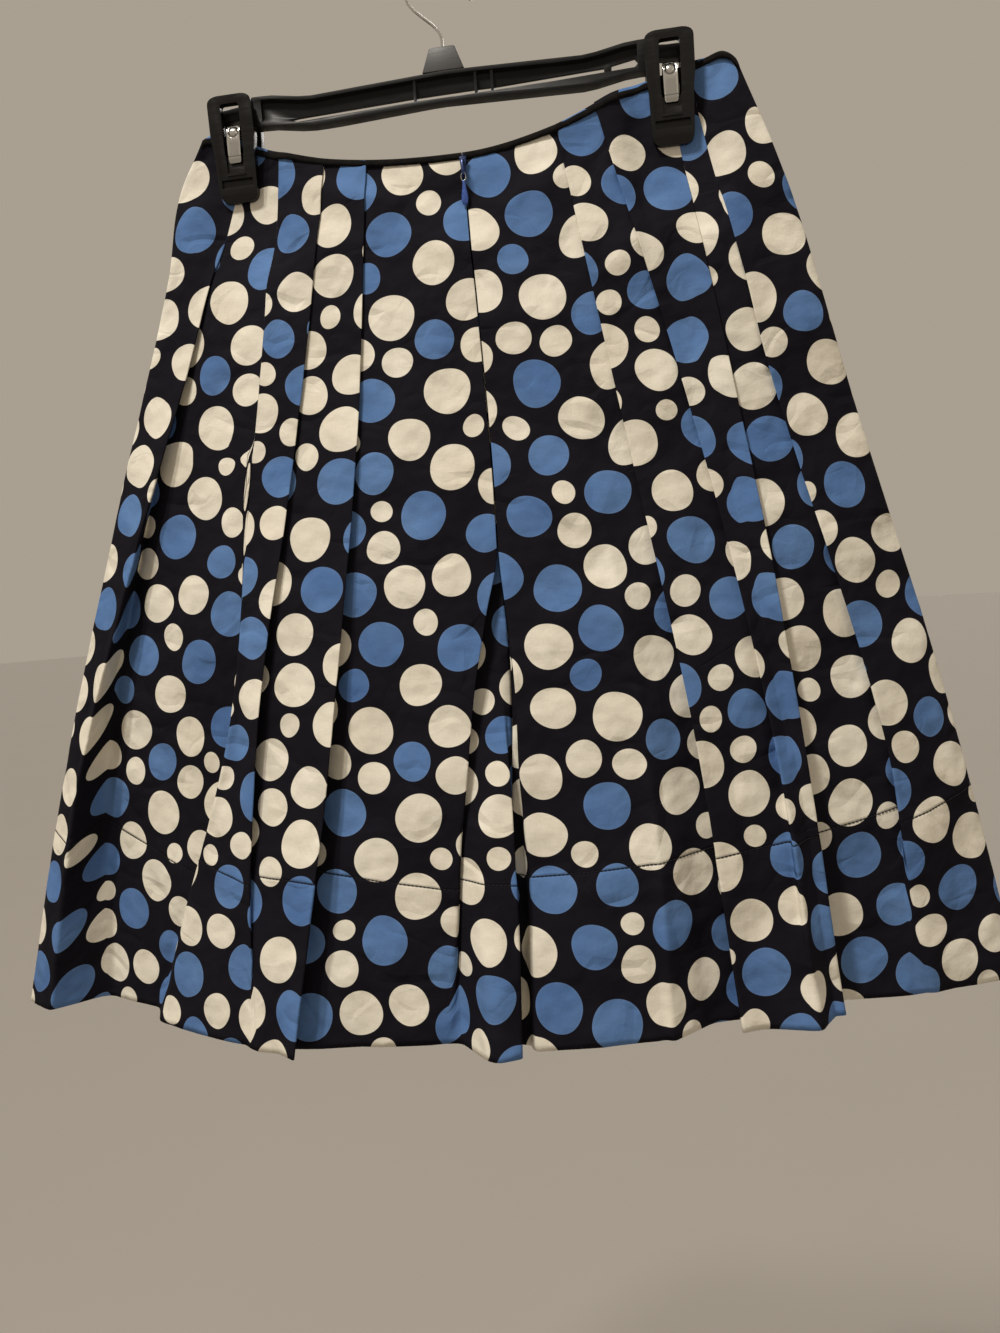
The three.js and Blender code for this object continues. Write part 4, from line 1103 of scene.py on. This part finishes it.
def reflection_painted_strip_material(name, colour, rough):
    """Plated strip with painted reflections and shade: greyer over its top curve, on the
    middle of its lower flat, at its tab's end, in a ring round its boss and along its
    crease.
    """
    n = Nodes(name)
    place = n.object_place()
    split = n.add("SeparateXYZ", place)
    x, z = split.outputs["X"], split.outputs["Z"]
    boss_z, boss_radius, _ = SPRING_BOSS
    off_middle = n.math("SUBTRACT", n.math("ABSOLUTE", x), PINCH_X * MM)
    off_boss = n.math("SUBTRACT", z, boss_z * MM)
    squares = [n.math("MULTIPLY", v, v) for v in (off_middle, off_boss)]
    off_ring = n.away(n.math("SQRT", n.math("ADD", *squares)), boss_radius * SHADE_RING_AT * MM)
    blotch = n.noise(place, 420.0, detail=2.0)
    # Painted reflections: greyer in the middle of the lower flat, at the tab's end and in
    # patches over the top curve. Painted shade: a ring round the boss and a line along the
    # crease.
    plate_reflection = n.ramp(z, -0.1100, -0.1060, 0.28, 0.0)
    inner = n.ramp(n.math("ABSOLUTE", off_middle), 0.0034, 0.0041, 1.0, 0.0)
    bend = n.ramp(z, -0.1000, -0.0968, 0.0, 0.8)
    dark = n.math("MULTIPLY", plate_reflection, inner)
    for part in (
        n.ramp(z, -0.1210, -0.1202, 0.3, 0.0),
        n.ramp(off_ring, 0.0002, 0.0010, 0.72, 0.0),
        n.math("MULTIPLY", bend, n.ramp(blotch, 0.42, 0.56)),
        n.ramp(n.away(z, SPRING_BEND[0] * MM), 0.0002, 0.0007, 0.7, 0.0),
    ):
        dark = n.math("MAXIMUM", dark, part)
    # The painted reflections and shade grey the steel here.
    tone = n.blend(dark, rgba(colour), rgba(shade(colour, REFLECTION_GREY)))
    brushed = n.noise(place, *NOISES["brushing"])
    roughness = n.ramp(brushed, 0.3, 0.7, rough * 0.7, rough * 1.5)
    bump = n.bumps((blotch, 0.25, 0.0004), (brushed, 0.12, 0.0002))
    return n.finish(tone, roughness, bump, metallic=1.0)


# ---- Settings


def a_colour(name, description, default):
    return bpy.props.FloatVectorProperty(
        name=name, description=description, default=default, size=3, min=0.0, max=1.0,
        subtype="COLOR",
    )


def a_number(name, description, default, unit="NONE"):
    return bpy.props.FloatProperty(
        name=name, description=description, default=default, unit=unit
    )


def a_length(name, description, default):
    return a_number(name, description, default, "LENGTH")


def a_share(name, description, default):
    return bpy.props.FloatProperty(
        name=name, description=description, default=default, min=0.0, max=1.0,
        subtype="FACTOR",
    )


class SkirtClothSettings(bpy.types.PropertyGroup):
    """Sizes and colours of the cotton."""

    thickness: a_length("Thickness", "Thickness of the single cotton", 0.0006)
    hem_thickness: a_length("Hem thickness", "Thickness of the turned hem", 0.0013)
    hem_depth: a_length("Hem depth", "Height of the hem's stitching above the hem", 0.114)
    hem_rise: a_number("Hem rise", "How fast the stitching climbs towards the sides", 0.23)
    repeat: a_length("Repeat", "Length after which the printed dots repeat", 0.300)
    blue_share: a_share("Blue share", "Share of the dots that are blue", 0.31)
    weave: a_share("Weave", "How much the threads darken the print", 0.09)
    rim: a_share("Rim", "How pale the blue dots' edges are", 0.03)
    dot_gap: a_length("Gap", "Least ground between two dots", 0.0052)
    seed: bpy.props.IntProperty(
        name="Seed", description="Chooses the layout of the dots", default=11
    )
    ground_low: a_colour("Ground, dark", "Darkest black", (0.0072, 0.0066, 0.0102))
    ground_high: a_colour("Ground, light", "Lightest black", (0.0098, 0.0090, 0.0136))
    cream_low: a_colour("Cream, dark", "Darkest cream", (0.725, 0.67, 0.555))
    cream_high: a_colour("Cream, light", "Lightest cream", (0.825, 0.78, 0.675))
    blue_low: a_colour("Blue, dark", "Darkest blue", (0.072, 0.150, 0.345))
    blue_high: a_colour("Blue, light", "Lightest blue", (0.124, 0.234, 0.465))
    wrong_side: a_colour("Wrong side", "What the print fades to inside", (0.1, 0.095, 0.09))


class SkirtHangerSettings(bpy.types.PropertyGroup):
    """Finishes of the hanger and the zip."""

    plastic: a_colour("Plastic", "Colour of the bar and clips", (0.0030, 0.0028, 0.0028))
    cap: a_colour("Size cap", "Colour of the bare size cap", (0.05, 0.048, 0.047))
    steel: a_colour("Steel", "Colour of the plated wire and springs", (0.72, 0.71, 0.68))
    enamel: a_colour("Enamel", "Colour of the zip's slider and pull", (0.045, 0.095, 0.34))


class SkirtStageSettings(bpy.types.PropertyGroup):
    """Camera, floor and light."""

    focal: a_number("Lens", "Focal length for a sensor 36 mm long", 27.007)
    floor_z: a_length("Floor", "Height of the floor under the hook", -1.62)
    key: a_number("Key light", "Strength of the high light on the left", 1.55)
    lamp: a_number("Key lamp", "Power of the near lamp beside it", 25.0, "POWER")
    back: a_number("Back light", "Strength of the soft light behind", 1.3)
    floor_colour: a_colour("Floor", "Colour of the floor", (0.290, 0.266, 0.236))
    air: a_colour("Air", "Colour of the room's soft light", (0.400, 0.350, 0.285))


# ---- Operators


class SKIRT_OT_cloth(bpy.types.Operator):
    """Lays the three cotton panels over their solids, with their tape and stitches"""

    bl_idname = "skirt.cloth"
    bl_label = "Cotton panels"

    def execute(self, context):
        cloth = context.scene.skirt_cloth
        right_side = cotton_material("dotted cotton", cloth)
        wrong_side = cotton_material("dotted cotton inside", cloth, wrong_side=True)
        tape = mixed_material(
            "binding tape", (0.0035, 0.003, 0.003), (0.009, 0.0075, 0.0065),
            ("fuzz", 0.35, 0.75), 0.9, (("rib", 0.5, 0.0006), ("fuzz", 0.4, 0.0012)),
            specular=0.1, sheen=0.02,
        )
        thread = mixed_material(
            "black thread", (0.006, 0.006, 0.007), (0.0208, 0.0208, 0.0226),
            ("twist", 0.3, 0.7), 0.8, (("twist", 0.4, 0.0003),), specular=0.2,
        )
        for name, spec in PANELS.items():
            side = spec["side"]
            points, uv = panel_grid(name)
            normal = outward(points, side)
            piece = grid_piece(name + "_cloth", points, right_side, uv, side == FAR)
            piece.data.materials.append(wrong_side)
            self.layered(piece, cloth)
            fit(piece, ROOT, "cotton", name + "_panel")
            binding = waist_binding(name + "_binding", name, points, tape)
            fit(binding, ROOT, "binding", name + "_waist_binding")
            hem = hem_stitches(name + "_hem_stitches", points, normal, uv, cloth, thread)
            fit(hem, ROOT, "cotton")
        return {"FINISHED"}

    @staticmethod
    def layered(piece, cloth):
        """Single cloth above the hem's stitching, and two layers below it."""
        group = piece.vertex_groups.new(name="layers")
        single = cloth.thickness / cloth.hem_thickness
        for vert in piece.data.vertices:
            below = HEM_Z * MM + hem_height(cloth, vert.co.x) - vert.co.z
            hem = float(smooth(below / LAYER_FADE + 0.5))
            group.add([vert.index], mix(single, 1.0, hem), "REPLACE")
        shell = thickened(piece, "shell", cloth.hem_thickness)
        shell.vertex_group = "layers"
        shell.use_even_offset = False
        shell.material_offset = 1


class SKIRT_OT_hanger(bpy.types.Operator):
    """Builds the plastic bar and clips with softened edges, the springs and the cap, and
    gives the hook plated steel
    """

    bl_idname = "skirt.hanger"
    bl_label = "Clip hanger"

    def execute(self, context):
        hanger = context.scene.skirt_hanger
        black = hanger.plastic, shade(hanger.plastic, 1.6)
        plastic = plastic_material("satin plastic", *black, 0.27)
        bar = plastic_material("bar plastic", *black, 0.46, 0.2)
        cap = plastic_material("cap plastic", hanger.cap, shade(hanger.cap, 1.25), 0.45)
        steel = steel_material("plated steel", hanger.steel, 0.14)
        # The springs' strip has painted reflections and shade in its colour.
        strip = reflection_painted_strip_material("plated strip", hanger.steel, 0.16)
        softened("hanger_bar", 0.35, bar, "plastic")
        softened("hanger_size_cap", 0.5, cap, "cap")
        for side in ("left", "right"):
            for jaw in ("_clip_near_jaw", "_clip_far_jaw"):
                softened(side + jaw, 0.55, plastic, "plastic")
        for side, x in (("left", -PINCH_X), ("right", PINCH_X)):
            spring = clip_spring(side + "_spring", x, strip)
            fit(spring, ROOT, "steel", side + "_clip_spring")
        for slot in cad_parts["hanger_hook"].material_slots:
            slot.material = steel
        return {"FINISHED"}


class SKIRT_OT_zip(bpy.types.Operator):
    """Builds the zip's slider, its teeth and the drop-shaped pull"""

    bl_idname = "skirt.zip"
    bl_label = "Zip"

    def execute(self, context):
        hanger = context.scene.skirt_hanger
        blue = hanger.enamel
        enamel = enamel_material("blue enamel", blue, shade(blue, 1.4))
        dark = enamel_material("navy enamel", shade(blue, 0.25), shade(blue, 0.5))
        steel = steel_material("bright steel", hanger.steel, 0.2)
        softened("zip_slider", 0.3, dark, "enamel")
        fit(zip_teeth("zip_teeth", dark), ROOT, "enamel")
        fit(pull_drop("zip_pull_drop", enamel), PULL_BODY, "enamel", "zip_pull")
        fit(pull_ring("zip_pull_ring", steel), PULL_BODY, "steel")
        return {"FINISHED"}


WARM, PALE = (1.0, 0.955, 0.885), (1.0, 0.98, 0.95)
LAMP_AIM = Vector((0.0, 0.0, -0.3))
FLOOR_RADIUS = 30.0


class SKIRT_OT_stage(bpy.types.Operator):
    """Sets the camera, the floor and the light"""

    bl_idname = "skirt.stage"
    bl_label = "Stage"

    def execute(self, context):
        stage = context.scene.skirt_stage
        scene = context.scene
        camera = bpy.data.cameras.new("camera")
        camera.sensor_width = 36.0
        camera.lens = stage.focal
        camera.clip_start, camera.clip_end = 0.01, 50.0
        viewer = bpy.data.objects.new("camera", camera)
        viewer.matrix_world = camera_place()
        scene.collection.objects.link(viewer)
        scene.camera = viewer

        tone = list(stage.floor_colour)
        paint = mixed_material("floor", tone, shade(tone, 1.02), ("clouds", 0.3, 0.7), 0.95)
        bm = bmesh.new()
        bmesh.ops.create_circle(bm, cap_ends=True, segments=96, radius=FLOOR_RADIUS)
        bmesh.ops.translate(bm, verts=bm.verts, vec=(0, 0, stage.floor_z))
        floor = finish_mesh("floor", bm, paint)

        world = bpy.data.worlds.new("air")
        world.use_nodes = True
        background = world.node_tree.nodes["Background"]
        background.inputs["Color"].default_value = rgba(stage.air)
        background.inputs["Strength"].default_value = 1.0
        scene.world = world

        narrow, wide = math.radians(4.0), math.radians(40.0)
        self.light("key", "SUN", (-0.9, -1.0, 2.2), stage.key, WARM, angle=narrow)
        self.light("back", "SUN", (0.6, 1.3, 1.1), stage.back, PALE, angle=wide)
        self.light("softbox", "AREA", (-0.52, -0.95, 1.62), stage.lamp, WARM, size=0.16)
        self.light("softbox", "AREA", (1.7, -1.6, 0.2), 1.5, WARM, size=0.7)
        scene.view_settings.view_transform = "Standard"
        return {"FINISHED"}

    @staticmethod
    def light(name, kind, place, power, tint, **sizes):
        """A sun that points at the hook, or a wide lamp that points at the cloth."""
        light = bpy.data.lights.new(name, kind)
        light.energy, light.color = power, tint
        for key, value in sizes.items():
            setattr(light, key, value)
        lamp = bpy.data.objects.new(name, light)
        lamp.location = place
        away = Vector(place) if kind == "SUN" else Vector(place) - LAMP_AIM
        lamp.rotation_euler = away.to_track_quat("Z", "Y").to_euler()
        bpy.context.scene.collection.objects.link(lamp)


CAMERA_SPOT = Vector((0.1218, -0.7514, -0.4521))
CAMERA_YAW, CAMERA_PITCH, CAMERA_ROLL = (math.radians(a) for a in (-8.48, -4.64, -4.10))


def camera_place():
    """Where the viewer stands: low, close and a little to the right, with a slight roll."""
    turn = (
        Matrix.Rotation(-CAMERA_YAW, 4, "Z")
        @ Matrix.Rotation(math.pi / 2 + CAMERA_PITCH, 4, "X")
        @ Matrix.Rotation(CAMERA_ROLL, 4, "Z")
    )
    return Matrix.Translation(CAMERA_SPOT) @ turn


class SKIRT_PT_panel(bpy.types.Panel):
    """Lists the pieces of the skirt"""

    bl_label = "Pleated Skirt"
    bl_idname = "SKIRT_PT_panel"
    bl_space_type = "VIEW_3D"
    bl_region_type = "UI"
    bl_category = "Skirt"

    def draw(self, context):
        for operator in OPERATORS:
            self.layout.operator(operator.bl_idname)


OPERATORS = (SKIRT_OT_stage, SKIRT_OT_cloth, SKIRT_OT_hanger, SKIRT_OT_zip)
GROUPS = {
    "skirt_cloth": SkirtClothSettings,
    "skirt_hanger": SkirtHangerSettings,
    "skirt_stage": SkirtStageSettings,
}


def register():
    for group in (*GROUPS.values(), *OPERATORS, SKIRT_PT_panel):
        bpy.utils.register_class(group)
    for name, group in GROUPS.items():
        setattr(bpy.types.Scene, name, bpy.props.PointerProperty(type=group))


def unregister():
    for name in GROUPS:
        delattr(bpy.types.Scene, name)
    for group in reversed((*GROUPS.values(), *OPERATORS, SKIRT_PT_panel)):
        bpy.utils.unregister_class(group)


def main():
    register()
    bpy.ops.skirt.stage()
    bpy.ops.skirt.cloth()
    bpy.ops.skirt.hanger()
    bpy.ops.skirt.zip()


if __name__ == "__main__":
    main()
